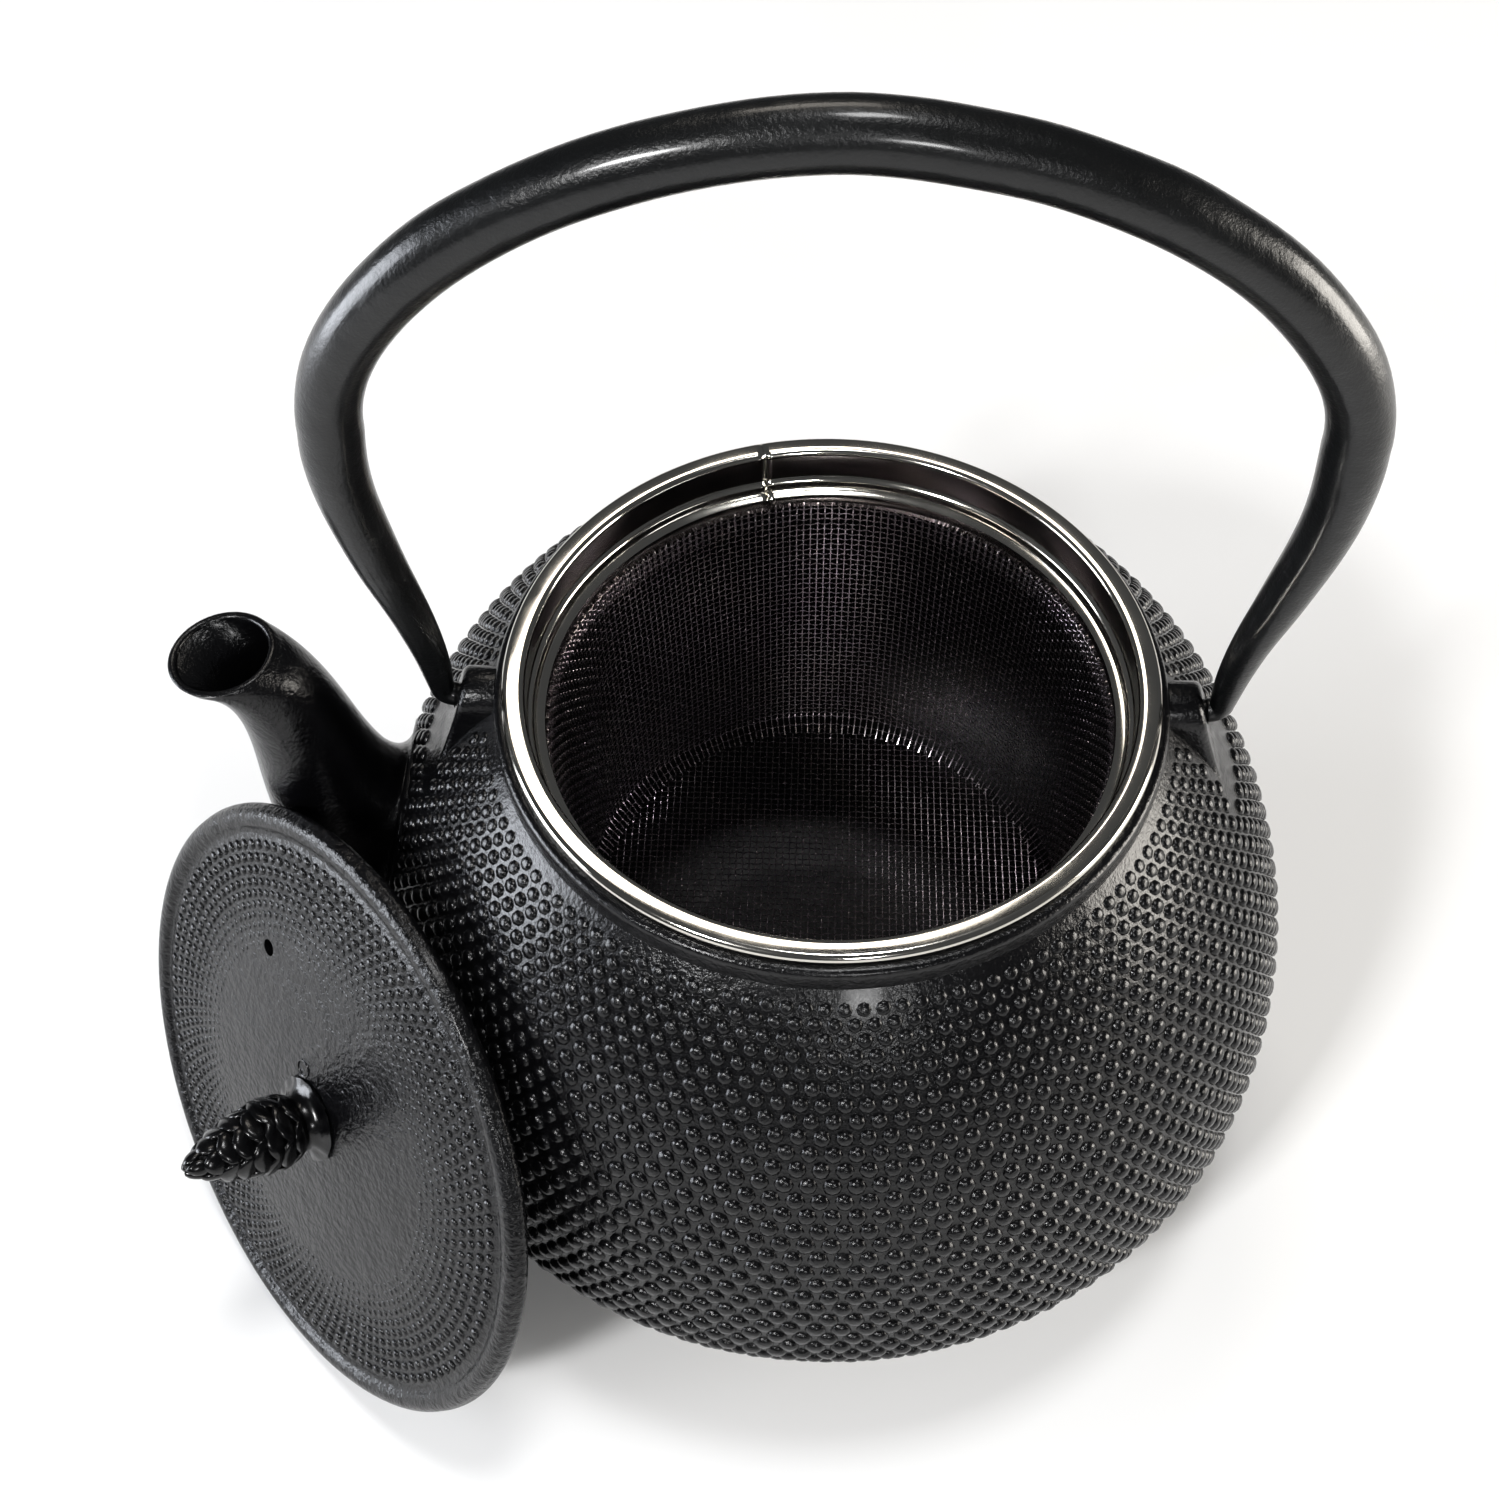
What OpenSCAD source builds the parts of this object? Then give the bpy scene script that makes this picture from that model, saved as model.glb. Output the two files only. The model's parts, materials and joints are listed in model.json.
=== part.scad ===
// Cast iron teapot with a hobnail body, a bail handle, a mesh infuser and a lid.
// The spout points to -X, the table is z = 0, and the pot's axis is the Z axis.
// The lid is off: it leans on the pot's shoulder with its lower edge on the table.

/* [Pot] */
// Largest diameter of the body
body_d = 165; // [150:1:200]
// Height of the widest part above the table
belly_z = 43.5; // [36:0.5:54]
// Depth of the ellipse that shapes the body below the widest part
bowl_h = 45.3; // [44:0.1:56]
// Height of the neck's top edge above the table
neck_top = 117; // [100:0.5:142]
// Outer diameter of the neck's collar
neck_d = 108; // [92:0.5:130]
// Height of the straight collar at the top of the neck
collar_h = 4; // [2.5:0.5:6]
// Thickness of the collar
neck_wall = 4.2; // [3:0.1:6]
// Thickness of the cast wall
wall = 3; // [2.4:0.1:4]
// Thickness of the cast floor
floor_t = 3.5; // [2.5:0.1:5]
// Outer diameter of the foot ring
foot_d = 84; // [70:1:100]
// Width of the foot ring's face
foot_w = 6; // [4:0.5:9]
// Depth of the recess inside the foot ring
foot_recess = 2; // [1:0.1:3]

/* [Spout] */
// Distance of the mouth's centre beyond the body's side
spout_over = 14.7; // [10:0.1:24]
// Height of the mouth above the table
mouth_z = 120; // [104:0.5:144]
// Outer diameter of the mouth's lip
mouth_d = 17.9; // [14:0.1:22]
// Thickness of the lip at the mouth
mouth_lip = 1.5; // [1.2:0.1:2.2]
// Tilt of the mouth away from level, outward
mouth_tilt = 5; // [0:1:15]
// Height where the spout's centre line leaves the body
spout_root_z = 60; // [50:0.5:68]
// Diameter of the spout's root
spout_root_d = 36.8; // [30:0.2:44]
// Thickness of the spout's wall at the root
spout_wall = 3.2; // [2.6:0.1:4]

/* [Lugs and handle] */
// Distance of the lug's face beyond the collar, at the pivot
lug_out = 6.5; // [5:0.1:9]
// Radius of the lug's round top
lug_r = 4.7; // [4:0.1:6]
// Half width of the lug where it runs into the shoulder
lug_spread = 8.5; // [6:0.1:11]
// Slope of the lug's outer face
lug_slope = 17; // [8:1:22]
// Drop of the pivot below the neck's top edge
pivot_drop = 5.5; // [5:0.1:8]
// Diameter of the handle's pivot ends
pin_d = 3.2; // [2.4:0.1:4]
// Radial clearance of the pivot ends in the lugs
pin_clear = 0.08; // [0.04:0.01:0.1]
// Depth of the blind pivot hole
pin_hole = 5.5; // [4:0.5:7]
// Greatest width of the handle, between centre lines
handle_w = 141.2; // [120:0.2:170]
// Height of the handle's top centre line above the pivot
handle_h = 109.7; // [90:0.1:132]
// Height of the arch above the handle's widest point
arch_h = 49.8; // [40:0.1:60]
// Thickness of the handle along its arch
handle_t = 9.3; // [7:0.1:12]
// Thickness of the handle's feet
handle_foot_t = 4; // [3.4:0.1:6]

/* [Infuser] */
// Overhang of the collar beyond the infuser's rolled lip
lip_inset = 1.5; // [0.5:0.1:3]
// Height of the rolled lip
lip_t = 2.1; // [1.6:0.1:3]
// Gap between the infuser's band and the neck
band_gap = 0.5; // [0.3:0.05:1]
// Thickness of the rim's sheet
sheet = 0.6; // [0.4:0.05:0.8]
// Depth of the band below the top of the lip
band_h = 7.7; // [6:0.1:10]
// Width of the ledge below the band
ledge_w = 3.3; // [2.5:0.1:4.5]
// Depth of the skirt below the ledge
skirt_h = 2.4; // [1.8:0.1:4]
// Height of the outer ring that clamps the mesh
clamp_h = 3.2; // [2.4:0.1:5]
// Thickness of the woven mesh
mesh_t = 0.5; // [0.4:0.05:0.8]
// Depth of the whole infuser below the top of the lip
infuser_h = 73; // [60:0.5:88]
// Inward taper of the mesh wall over its height
mesh_taper = 2.4; // [0:0.1:5]

/* [Lid] */
// Overhang of the lid beyond the infuser's lip
lid_over = 2.9; // [1.5:0.1:4]
// Thickness of the lid's rounded edge
lid_edge = 2.6; // [2:0.1:3.4]
// Rise of the lid's domed face over its edge
lid_rise = 2.6; // [1:0.1:6]
// Depth of the locating flange below the lid's underside
flange_h = 3.2; // [2:0.1:6]
// Thickness of the locating flange
flange_t = 2.4; // [1.8:0.1:3]
// Play of the flange inside the infuser's band
lid_play = 0.9; // [0.5:0.1:1.5]
// Diameter of the steam vent
vent_d = 3; // [2:0.1:4]
// Distance of the steam vent from the lid's centre
vent_at = 30.5; // [20:0.5:36]
// Turn of the steam vent about the lid's axis
vent_turn = 223; // [0:1:360]
// Compass direction that the leaning lid faces, from +X
lid_az = 221.2; // [215:0.1:230]
// Upward tilt of the direction that the leaning lid faces
lid_el = 22.8; // [15:0.1:32]
// Sideways distance of the leaning lid's centre from the pot's axis
lid_side = 22; // [15:0.5:26]
// Room left between the leaning lid and the body for its hobnails
lid_gap = 0.6; // [0.5:0.05:1.2]

/* [Knob] */
// Height of the knob above the lid's face
knob_h = 23.4; // [19:0.1:30]
// Largest diameter of the cone-shaped grip
knob_d = 12.8; // [10:0.1:16]
// Diameter of the flared collar that stands on the lid
knob_foot_d = 12.4; // [10:0.1:16]
// Height of the flared collar
knob_foot_h = 3.2; // [2.4:0.1:4.5]
// Diameter of the shank through the lid
shank_d = 4; // [3:0.1:5]
// Radial clearance of the shank in the lid
shank_clear = 0.08; // [0.04:0.01:0.1]
// Diameter of the washer under the lid
washer_d = 11; // [9:0.1:14]
// Thickness of the washer
washer_t = 0.8; // [0.5:0.1:1.2]
// Diameter of the shank's hammered head
head_d = 6.6; // [5.5:0.1:8]
// Height of the shank's hammered head
head_h = 1.1; // [0.8:0.1:1.6]
// Play along the shank
shank_play = 0.1; // [0.05:0.01:0.2]

/* [Hidden] */
$fn = 96;
IRON = "#1c1d20";
STEEL = "#b9b6ae";
MESH = "#8d8b88";
EPS = 0.01;
// Overshoot that lets a cut run clear of the face it opens
CUT = 2;
// Sides of the spout's and the handle's sections
SIDES = 24;

body_r = body_d / 2;
neck_r = neck_d / 2;
bore_r = neck_r - neck_wall;
collar_z = neck_top - collar_h;
// The shoulder is an ellipse that meets the foot of the collar
dome_h = (collar_z - belly_z) / sqrt(1 - pow(neck_r / body_r, 2));
foot_r = foot_d / 2;

pivot_z = neck_top - pivot_drop;
pin_r = pin_d / 2;
lug_x = neck_r + lug_out;
lug_low = lug_r * 3;
foot_gap = 0.4;
// Flat spot around the pivot hole, which the handle's foot turns against
spot_r = handle_foot_t / 2 + 0.5;
foot_x = lug_x + foot_gap + handle_foot_t / 2;
bend_r = handle_foot_t / 2 + 0.1;
handle_top = pivot_z + handle_h;
arch_z = handle_top - arch_h;
arch_r = handle_w / 2;
// Exponent of the rounded arch; 2 would be an ellipse
arch_n = 1.82;
// Height over which the handle thickens from its foot to the arch
leg_taper = 54;

rim_top = neck_top + lip_t;
lip_r = neck_r - lip_inset;
band_r = bore_r - band_gap;
ledge_z = rim_top - band_h - sheet;
skirt_r = band_r - ledge_w;
fit_gap = 0.1;
mesh_r = skirt_r + sheet + fit_gap;
infuser_floor = rim_top - infuser_h;

lid_r = lip_r + lid_over;
edge_r = lid_edge / 2;
flange_r = band_r - sheet - lid_play;
flange_z = -edge_r - flange_h;

spout_root = [-(outer_r(spout_root_z) - 11.7), spout_root_z];
spout_mouth = [-(body_r + spout_over), mouth_z];
root_dir = 147;
mouth_dir = 90 + mouth_tilt;
// Two handles of the spout's curved centre line, measured from its ends
root_pull = spout_root + 31 * [cos(root_dir), sin(root_dir)];
mouth_pull = spout_mouth + [17, -7];
throat_d = 13.6;

// Height on the body's outer side, and its radius there
function outer_r(z) =
    body_r * sqrt(1 - pow((z - belly_z) / (z > belly_z ? dome_h : bowl_h), 2));

// Points on the body's curve, thinned by an inset, from one radius over the belly to a low height
function body_curve(inset, top_r, low_z) =
    let (r = body_r - inset, up = dome_h - inset, down = bowl_h - inset,
         first = asin(top_r / r), last = 180 - acos((belly_z - low_z) / down),
         steps = 20)
    concat(
        [for (i = [0 : steps]) let (a = first + (90 - first) * i / steps)
            [r * sin(a), belly_z + up * cos(a)]],
        [for (i = [1 : steps]) let (a = 90 + (last - 90) * i / steps)
            [r * sin(a), belly_z + down * cos(a)]]);

function bezier(a, b, c, d, t) =
    pow(1 - t, 3) * a + 3 * t * pow(1 - t, 2) * b + 3 * t * t * (1 - t) * c + pow(t, 3) * d;

function ease(t) = t * t * (3 - 2 * t);

// One round section in a plane that stands on the XZ plane; turn is its normal's direction
function ring(centre, r, turn) =
    [for (k = [0 : SIDES - 1]) let (a = 360 * k / SIDES)
        [centre[0] + r * cos(a) * sin(turn), r * sin(a), centre[1] - r * cos(a) * cos(turn)]];

// A closed skin through rings of equal count
module skin(rings) {
    n = len(rings);
    points = [for (r = rings) each r];
    sides = [for (i = [0 : n - 2], k = [0 : SIDES - 1])
        let (a = i * SIDES + k, b = i * SIDES + (k + 1) % SIDES)
        each [[a, b + SIDES, b], [a, a + SIDES, b + SIDES]]];
    caps = [[for (k = [0 : SIDES - 1]) k],
            [for (k = [SIDES - 1 : -1 : 0]) (n - 1) * SIDES + k]];
    polyhedron(points, concat(sides, caps));
}

function spout_centre(t) = bezier(spout_root, root_pull, mouth_pull, spout_mouth, t);

// The spout narrows to its throat and flares again at the lip
function spout_r(t) =
    bezier(spout_root_d / 2, 11.4, throat_d / 2, throat_d / 2 + 0.7, t)
    + (mouth_d / 2 - throat_d / 2 - 0.7) * pow(t, 8);

function spout_turn(t) = root_dir + (mouth_dir - root_dir) * ease(min(1, t / 0.55));

// Spout solid, thinned by a wall that runs down to the lip's thickness; past lifts the open end
module spout(thin_root, thin_mouth, past) {
    steps = 18;
    body = [for (i = [0 : steps]) let (t = i / steps)
        ring(spout_centre(t), spout_r(t) - (thin_root + (thin_mouth - thin_root) * t),
             spout_turn(t))];
    last = ring(spout_mouth + past * [cos(mouth_dir), sin(mouth_dir)],
                mouth_d / 2 - thin_mouth, mouth_dir);
    skin(past > 0 ? concat(body, [last]) : body);
}

// Outer block of one lug on the +X side
module lug() {
    slope = tan(lug_slope);
    low = pivot_z - lug_low;
    top = pivot_z + lug_r;
    intersection() {
        translate([bore_r, 0, pivot_z])
            rotate([90, 0, 90])
                linear_extrude(lug_out + neck_wall + lug_low) {
                    circle(lug_r);
                    polygon([[-lug_r, 0], [-lug_spread, -lug_low],
                             [lug_spread, -lug_low], [lug_r, 0]]);
                }
        rotate([90, 0, 0])
            linear_extrude(4 * lug_spread, center = true)
                polygon([[bore_r, low], [lug_x + lug_low * slope, low],
                         [lug_x - lug_r * slope, top + EPS], [bore_r, top + EPS]]);
    }
}

module body_outside() {
    rotate_extrude()
        union() {
            polygon(concat(
                [[0, neck_top], [neck_r, neck_top]],
                body_curve(0, neck_r, foot_recess),
                [[0, foot_recess]]));
            translate([foot_r - foot_w, 0])
                square([foot_w, foot_recess + wall]);
        }
}

module body_inside() {
    rotate_extrude()
        polygon(concat(
            [[0, neck_top + CUT], [bore_r, neck_top + CUT]],
            body_curve(wall, bore_r, foot_recess + floor_t),
            [[0, foot_recess + floor_t]]));
}

module spout_passage() {
    spout(spout_wall, mouth_lip, CUT);
}

module pot_body() {
    color(IRON)
        difference() {
            union() {
                body_outside();
                for (side = [0, 1]) mirror([side, 0, 0]) lug();
            }
            body_inside();
            spout_passage();
            for (side = [0, 1]) mirror([side, 0, 0]) {
                translate([lug_x - pin_hole, 0, pivot_z])
                    rotate([0, 90, 0])
                        cylinder(r = pin_r + pin_clear, h = pin_hole + CUT);
                translate([lug_x, 0, pivot_z])
                    rotate([0, 90, 0])
                        cylinder(r = spot_r, h = lug_low);
            }
        }
}

// The spout is poured with the body; it starts where it leaves the body's surface
module pot_spout() {
    color(IRON)
        difference() {
            spout(0, 0, 0);
            body_outside();
            spout_passage();
        }
}

// Centre line of the handle's +X half, from the top of the arch to the pivot
function handle_half() =
    let (arch_steps = 18, leg_steps = 14, bend_steps = 6,
         leg_top = [arch_r, arch_z], leg_foot = [foot_x, pivot_z + bend_r],
         bend = [foot_x - bend_r, pivot_z + bend_r])
    concat(
        [for (i = [0 : arch_steps]) let (a = 90 - 90 * i / arch_steps)
            [arch_r * pow(cos(a), 2 / arch_n), arch_z + arch_h * pow(sin(a), 2 / arch_n)]],
        [for (i = [1 : leg_steps])
            bezier(leg_top, leg_top + [2.6, -22], leg_foot + [0.6, 22], leg_foot,
                   i / leg_steps)],
        [for (i = [1 : bend_steps]) let (a = -90 * i / bend_steps)
            bend + bend_r * [cos(a), sin(a)]]);

function handle_r(z) =
    let (rise = min(1, max(0, (z - pivot_z - bend_r) / leg_taper)))
    (handle_foot_t + (handle_t - handle_foot_t) * pow(rise, 0.75)) / 2;

module handle() {
    half = handle_half();
    n = len(half);
    path = concat([for (i = [n - 1 : -1 : 1]) [-half[i][0], half[i][1]]], half);
    last = len(path) - 1;
    color(IRON)
        union() {
            skin([for (i = [0 : last])
                let (way = path[min(i + 1, last)] - path[max(i - 1, 0)],
                     level = i == 0 || i == last)
                ring(path[i], handle_r(path[i][1]), level ? 180 : atan2(way[1], way[0]))]);
            for (side = [0, 1]) mirror([side, 0, 0])
                translate([lug_x - pin_hole + 0.5, 0, pivot_z])
                    rotate([0, 90, 0])
                        cylinder(r = pin_r, h = pin_hole + foot_gap + 1);
        }
}

module infuser_rim() {
    roll = lip_t / 2;
    color(STEEL)
        rotate_extrude()
            union() {
                translate([lip_r - roll, neck_top + roll]) circle(roll);
                translate([band_r - sheet + roll, neck_top + roll]) circle(roll);
                translate([band_r - sheet + roll, neck_top])
                    square([lip_r - band_r + sheet - lip_t, lip_t]);
                translate([band_r - sheet, ledge_z])
                    square([sheet, neck_top + roll - ledge_z]);
                translate([skirt_r, ledge_z]) square([ledge_w, sheet]);
                translate([skirt_r, ledge_z - skirt_h]) square([sheet, skirt_h + EPS]);
            }
}

module infuser_clamp_ring() {
    inner = mesh_r + mesh_t + fit_gap;
    color(STEEL)
        translate([0, 0, ledge_z - clamp_h])
            difference() {
                cylinder(r = inner + sheet, h = clamp_h);
                translate([0, 0, -CUT]) cylinder(r = inner, h = clamp_h + 2 * CUT);
            }
}

module infuser_mesh_wall() {
    low = infuser_floor + mesh_t;
    straight = ledge_z - clamp_h;
    color(MESH)
        rotate_extrude()
            polygon([[mesh_r, ledge_z], [mesh_r + mesh_t, ledge_z],
                     [mesh_r + mesh_t, straight], [mesh_r + mesh_t - mesh_taper, low],
                     [mesh_r - mesh_taper, low], [mesh_r, straight]]);
}

module infuser_mesh_bottom() {
    color(MESH)
        translate([0, 0, infuser_floor])
            cylinder(r = mesh_r + mesh_t - mesh_taper, h = mesh_t);
}

// Direction that the lid's face points in, and the sideways direction along the table
lid_face = [cos(lid_el) * cos(lid_az), cos(lid_el) * sin(lid_az), sin(lid_el)];
lid_across = [-sin(lid_az), cos(lid_az), 0];
lid_out = [cos(lid_az), sin(lid_az), 0];
// The rounded edge touches the table
lid_centre_z = (lid_r - edge_r) * cos(lid_el) + edge_r;

// How far the body reaches in the lid's direction
body_reach = sqrt(pow(body_r * cos(lid_el), 2) + pow(dome_h * sin(lid_el), 2))
    + belly_z * sin(lid_el);

// Lid centre for a given distance of its plane along its own direction
function lid_at(plane) =
    (plane - lid_centre_z * lid_face[2]) / cos(lid_el) * lid_out
    - lid_side * lid_across + [0, 0, lid_centre_z];

// Plane that the spout asks for: each section counts as a ball that the lid's edge stays off
first_plane = body_reach + lid_gap - flange_z;
function spout_asks(t) =
    let (c = spout_centre(t), ball = [c[0], 0, c[1]], r = spout_r(t) + lid_gap,
         off = ball - lid_at(first_plane), along = off * lid_face,
         out = max(0, norm(off - along * lid_face) - lid_r))
    out >= r ? 0 : ball * lid_face + sqrt(r * r - out * out) + edge_r;

lid_plane = max([first_plane, for (i = [4 : 20]) spout_asks(i / 20)]);

// Puts a piece drawn about the lid's own axis where the lid leans
module lean() {
    translate(lid_at(lid_plane))
        rotate([0, 90 - lid_el, lid_az])
            children();
}

// Height of the lid's domed face over its edge's plane
function lid_top(r) = edge_r + lid_rise * (1 - pow(r / (lid_r - lid_edge), 2));

module lid() {
    steps = 12;
    inner = lid_r - lid_edge;
    hole_r = shank_d / 2 + shank_clear;
    color(IRON)
        lean()
            difference() {
                rotate_extrude()
                    polygon(concat(
                        [[0, lid_top(0) - lid_edge]],
                        [for (i = [0 : steps]) [inner * i / steps, lid_top(inner * i / steps)]],
                        [for (a = [90 : -15 : -90])
                            [lid_r - edge_r + edge_r * cos(a), edge_r * sin(a)]],
                        [[flange_r, -edge_r], [flange_r, flange_z],
                         [flange_r - flange_t, flange_z], [flange_r - flange_t, -edge_r]],
                        [for (i = [steps - 2 : -1 : 1])
                            let (r = (flange_r - flange_t) * i / steps)
                            [r, lid_top(r) - lid_edge]]));
                translate([0, 0, -lid_r]) cylinder(r = hole_r, h = 2 * lid_r);
                rotate([0, 0, vent_turn]) translate([vent_at, 0, -lid_r])
                    cylinder(d = vent_d, h = 2 * lid_r);
            }
}

// Radius of the cone-shaped grip, from its waist at 0 to its tip at 1
function cone_r(t) = knob_d / 2 * pow(sin(180 * pow(0.11 + 0.89 * t, 0.6)), 0.65);

module lid_knob() {
    base = lid_top(0) + shank_play;
    under = lid_top(0) - lid_edge - washer_t - shank_play;
    cone_z = base + knob_foot_h;
    cone_h = knob_h - knob_foot_h;
    waist_r = cone_r(0);
    steps = 12;
    color(IRON)
        lean()
            union() {
                rotate_extrude()
                    polygon(concat(
                        [[0, base], [knob_foot_d / 2, base], [knob_foot_d / 2, base + 0.8],
                         [(knob_foot_d / 2 + waist_r) / 2 - 0.4, base + knob_foot_h / 2]],
                        [for (i = [0 : steps - 1]) [cone_r(i / steps), cone_z + cone_h * i / steps]],
                        [[0, cone_z + cone_h]]));
                translate([0, 0, under - head_h])
                    cylinder(d = shank_d, h = base - under + head_h + 1);
                translate([0, 0, under - head_h])
                    cylinder(d1 = head_d * 0.6, d2 = head_d, h = head_h);
            }
}

module knob_washer() {
    color(STEEL)
        lean()
            translate([0, 0, lid_top(0) - lid_edge - washer_t - shank_play / 2])
                difference() {
                    cylinder(d = washer_d, h = washer_t);
                    translate([0, 0, -CUT])
                        cylinder(d = shank_d + 0.4, h = washer_t + 2 * CUT);
                }
}

pot_body();
pot_spout();
handle();
infuser_rim();
infuser_clamp_ring();
infuser_mesh_wall();
infuser_mesh_bottom();
lid();
lid_knob();
knob_washer();
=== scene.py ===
"""Looks of the cast iron teapot: every piece that shows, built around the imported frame."""

import json
import math

import bmesh
import bpy
from bpy.props import FloatProperty, FloatVectorProperty, IntProperty, PointerProperty
from mathutils import Matrix, Vector, noise


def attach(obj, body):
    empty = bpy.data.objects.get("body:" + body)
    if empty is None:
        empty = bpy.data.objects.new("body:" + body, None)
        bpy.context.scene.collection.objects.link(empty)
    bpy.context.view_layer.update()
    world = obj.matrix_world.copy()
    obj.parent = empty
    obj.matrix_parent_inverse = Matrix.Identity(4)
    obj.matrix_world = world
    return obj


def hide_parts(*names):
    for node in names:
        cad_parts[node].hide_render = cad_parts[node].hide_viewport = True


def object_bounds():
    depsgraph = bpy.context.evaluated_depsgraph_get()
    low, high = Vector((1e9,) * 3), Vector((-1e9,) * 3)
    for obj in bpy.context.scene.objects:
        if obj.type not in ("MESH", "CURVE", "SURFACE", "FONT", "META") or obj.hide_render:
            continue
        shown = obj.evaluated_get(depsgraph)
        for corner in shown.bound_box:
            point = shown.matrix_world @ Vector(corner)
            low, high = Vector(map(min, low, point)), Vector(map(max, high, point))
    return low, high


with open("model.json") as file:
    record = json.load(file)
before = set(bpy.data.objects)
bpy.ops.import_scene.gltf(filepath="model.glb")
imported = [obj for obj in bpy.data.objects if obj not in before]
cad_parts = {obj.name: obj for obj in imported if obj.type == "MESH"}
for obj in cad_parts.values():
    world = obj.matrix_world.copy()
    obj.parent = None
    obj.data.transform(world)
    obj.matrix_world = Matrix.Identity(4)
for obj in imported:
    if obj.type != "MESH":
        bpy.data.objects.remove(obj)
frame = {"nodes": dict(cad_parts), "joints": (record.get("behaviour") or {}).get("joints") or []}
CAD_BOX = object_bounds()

bl_info = {
    "name": "Cast Iron Teapot",
    "version": (1, 0, 0),
    "blender": (4, 5, 0),
    "location": "View3D > Sidebar > Teapot",
    "description": "Builds a hobnail cast iron teapot with its infuser and lid",
    "category": "Add Mesh",
}

MM = 0.001
UP = Vector((0, 0, 1))
JOINTS = {joint["name"]: joint for joint in frame["joints"]}
# Overshoot of a cutting shape past the face that it opens
CLEAR = 2 * MM
# Start of the smooth noise, so that each run gives the same shapes
NOISE_START = 7
# How far a wire of the cloth bends at each crossing, as a share of its radius
CRIMP = 1.3
# Gap round a shaft in its hole
FIT = 0.08 * MM
# Slope of the lugs' outer faces, in degrees
LUG_SLOPE = 17
# Exponent of the widening of the lugs towards their foot
LUG_FLARE = 2.2
# Depth of the blind hole for the handle's pivot end, and how far the end goes in
PIVOT_HOLE = 5.5 * MM
PIVOT_REACH = 5 * MM
# Directions of the spout's centre line at its root and at its mouth, in degrees over +X
SPOUT_TURNS = (147, 95)
# Radii that the spout's width is drawn between, from its root to its mouth
SPOUT_WIDTHS = (18.4, 11.4, 6.8, 7.5)
# Exponent of the handle's rounded arch; 2 would be an ellipse
ARCH_POWER = 1.82
# Height over which the handle thickens from its foot to the arch
LEG_TAPER = 54 * MM
# Turn of the rim's seam about the pot's axis, in degrees
SEAM_TURN = 104
# Turns of the steam vent and of the mould's mark about the lid's axis, in degrees
VENT_TURN = 223
MARK_TURN = 206
# Distance of the mould's mark from the lid's centre
MARK_AT = 9.6 * MM
# Play along the knob's shank
SHANK_PLAY = 0.1 * MM
# Core of the knob under its scales, as a share of the grip's radius
CORE = 0.9
# Place of the camera in millimetres, and its yaw, its pitch downward and its roll in degrees
CAMERA_AT = (-3.6, -197.6, 368.8)
CAMERA_TURNS = (-2.76, 53.87, 0.92)
# Width of the sensor and the lens, in millimetres
SENSOR = 36
LENS = 48.05
# What the lamps are aimed at
LIT_SPOT = (0, 0, 0.07)
# Name, place, width, height, watts and tint of each soft panel
LAMPS = (
    ("window_left", (-1.3, -0.1, 0.28), 0.7, 0.6, 14, "#f4f8ff"),
    ("window_right", (1.3, 0.0, 0.28), 0.7, 0.6, 15, "#fffaf2"),
    ("lamp_left", (-0.75, -0.95, 1.15), 0.2, 0.2, 12, "#ffffff"),
    ("lamp_front", (0.25, -1.3, 0.8), 0.2, 0.15, 4, "#ffffff"),
    ("lamp_over", (0.1, 0.05, 1.8), 0.3, 0.3, 7, "#ffffff"),
    ("ceiling", (-0.15, 0.9, 1.5), 0.6, 0.4, 4, "#fff8ee"),
)


# ---------------------------------------------------------------- properties


def length(name, description, millimetres):
    """A length that the sidebar shows, given in millimetres."""
    return FloatProperty(
        name=name, description=description, default=millimetres * MM, min=0, subtype="DISTANCE", precision=4
    )


def linear(hex_colour):
    """An sRGB hex colour as the linear RGBA that shaders take."""
    parts = [int(hex_colour[i : i + 2], 16) / 255 for i in (1, 3, 5)]
    return [c / 12.92 if c <= 0.04045 else ((c + 0.055) / 1.055) ** 2.4 for c in parts] + [1]


def colour(name, description, hex_colour):
    """A colour that the sidebar shows, given as sRGB hex."""
    return FloatVectorProperty(
        name=name, description=description, default=linear(hex_colour), size=4, min=0, max=1, subtype="COLOR"
    )


class PotSizes(bpy.types.PropertyGroup):
    """Sizes of the pot's casting."""

    body_d: length("Body diameter", "Largest diameter of the body", 165)
    belly_z: length("Belly height", "Height of the widest part", 43.5)
    bowl_h: length("Bowl depth", "Depth of the ellipse below the widest part", 45.3)
    neck_top: length("Neck height", "Height of the neck's top edge", 117)
    neck_d: length("Neck diameter", "Outer diameter of the collar", 108)
    collar_h: length("Collar height", "Height of the straight collar", 4)
    neck_wall: length("Collar wall", "Thickness of the collar", 4.2)
    wall: length("Wall", "Thickness of the cast wall", 3)
    floor_t: length("Floor", "Thickness of the cast floor", 3.5)
    foot_d: length("Foot diameter", "Outer diameter of the foot ring", 84)
    foot_w: length("Foot width", "Width of the foot ring's face", 6)
    foot_recess: length("Foot recess", "Depth of the recess inside the foot ring", 2)
    pivot_z: length("Pivot height", "Height of the handle's pivots", 111.5)
    lug_x: length("Lug reach", "Distance of the lug's face from the axis, at the pivot", 60.5)
    lug_r: length("Lug radius", "Radius of the lug's round top", 4.7)
    lug_low: length("Lug depth", "Height of the lug below the pivot", 15.5)
    lug_spread: length("Lug spread", "Half width of the lug where it meets the shoulder", 9)
    spot_r: length("Pivot spot", "Radius of the flat spot cut round each pivot", 2.5)


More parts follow.
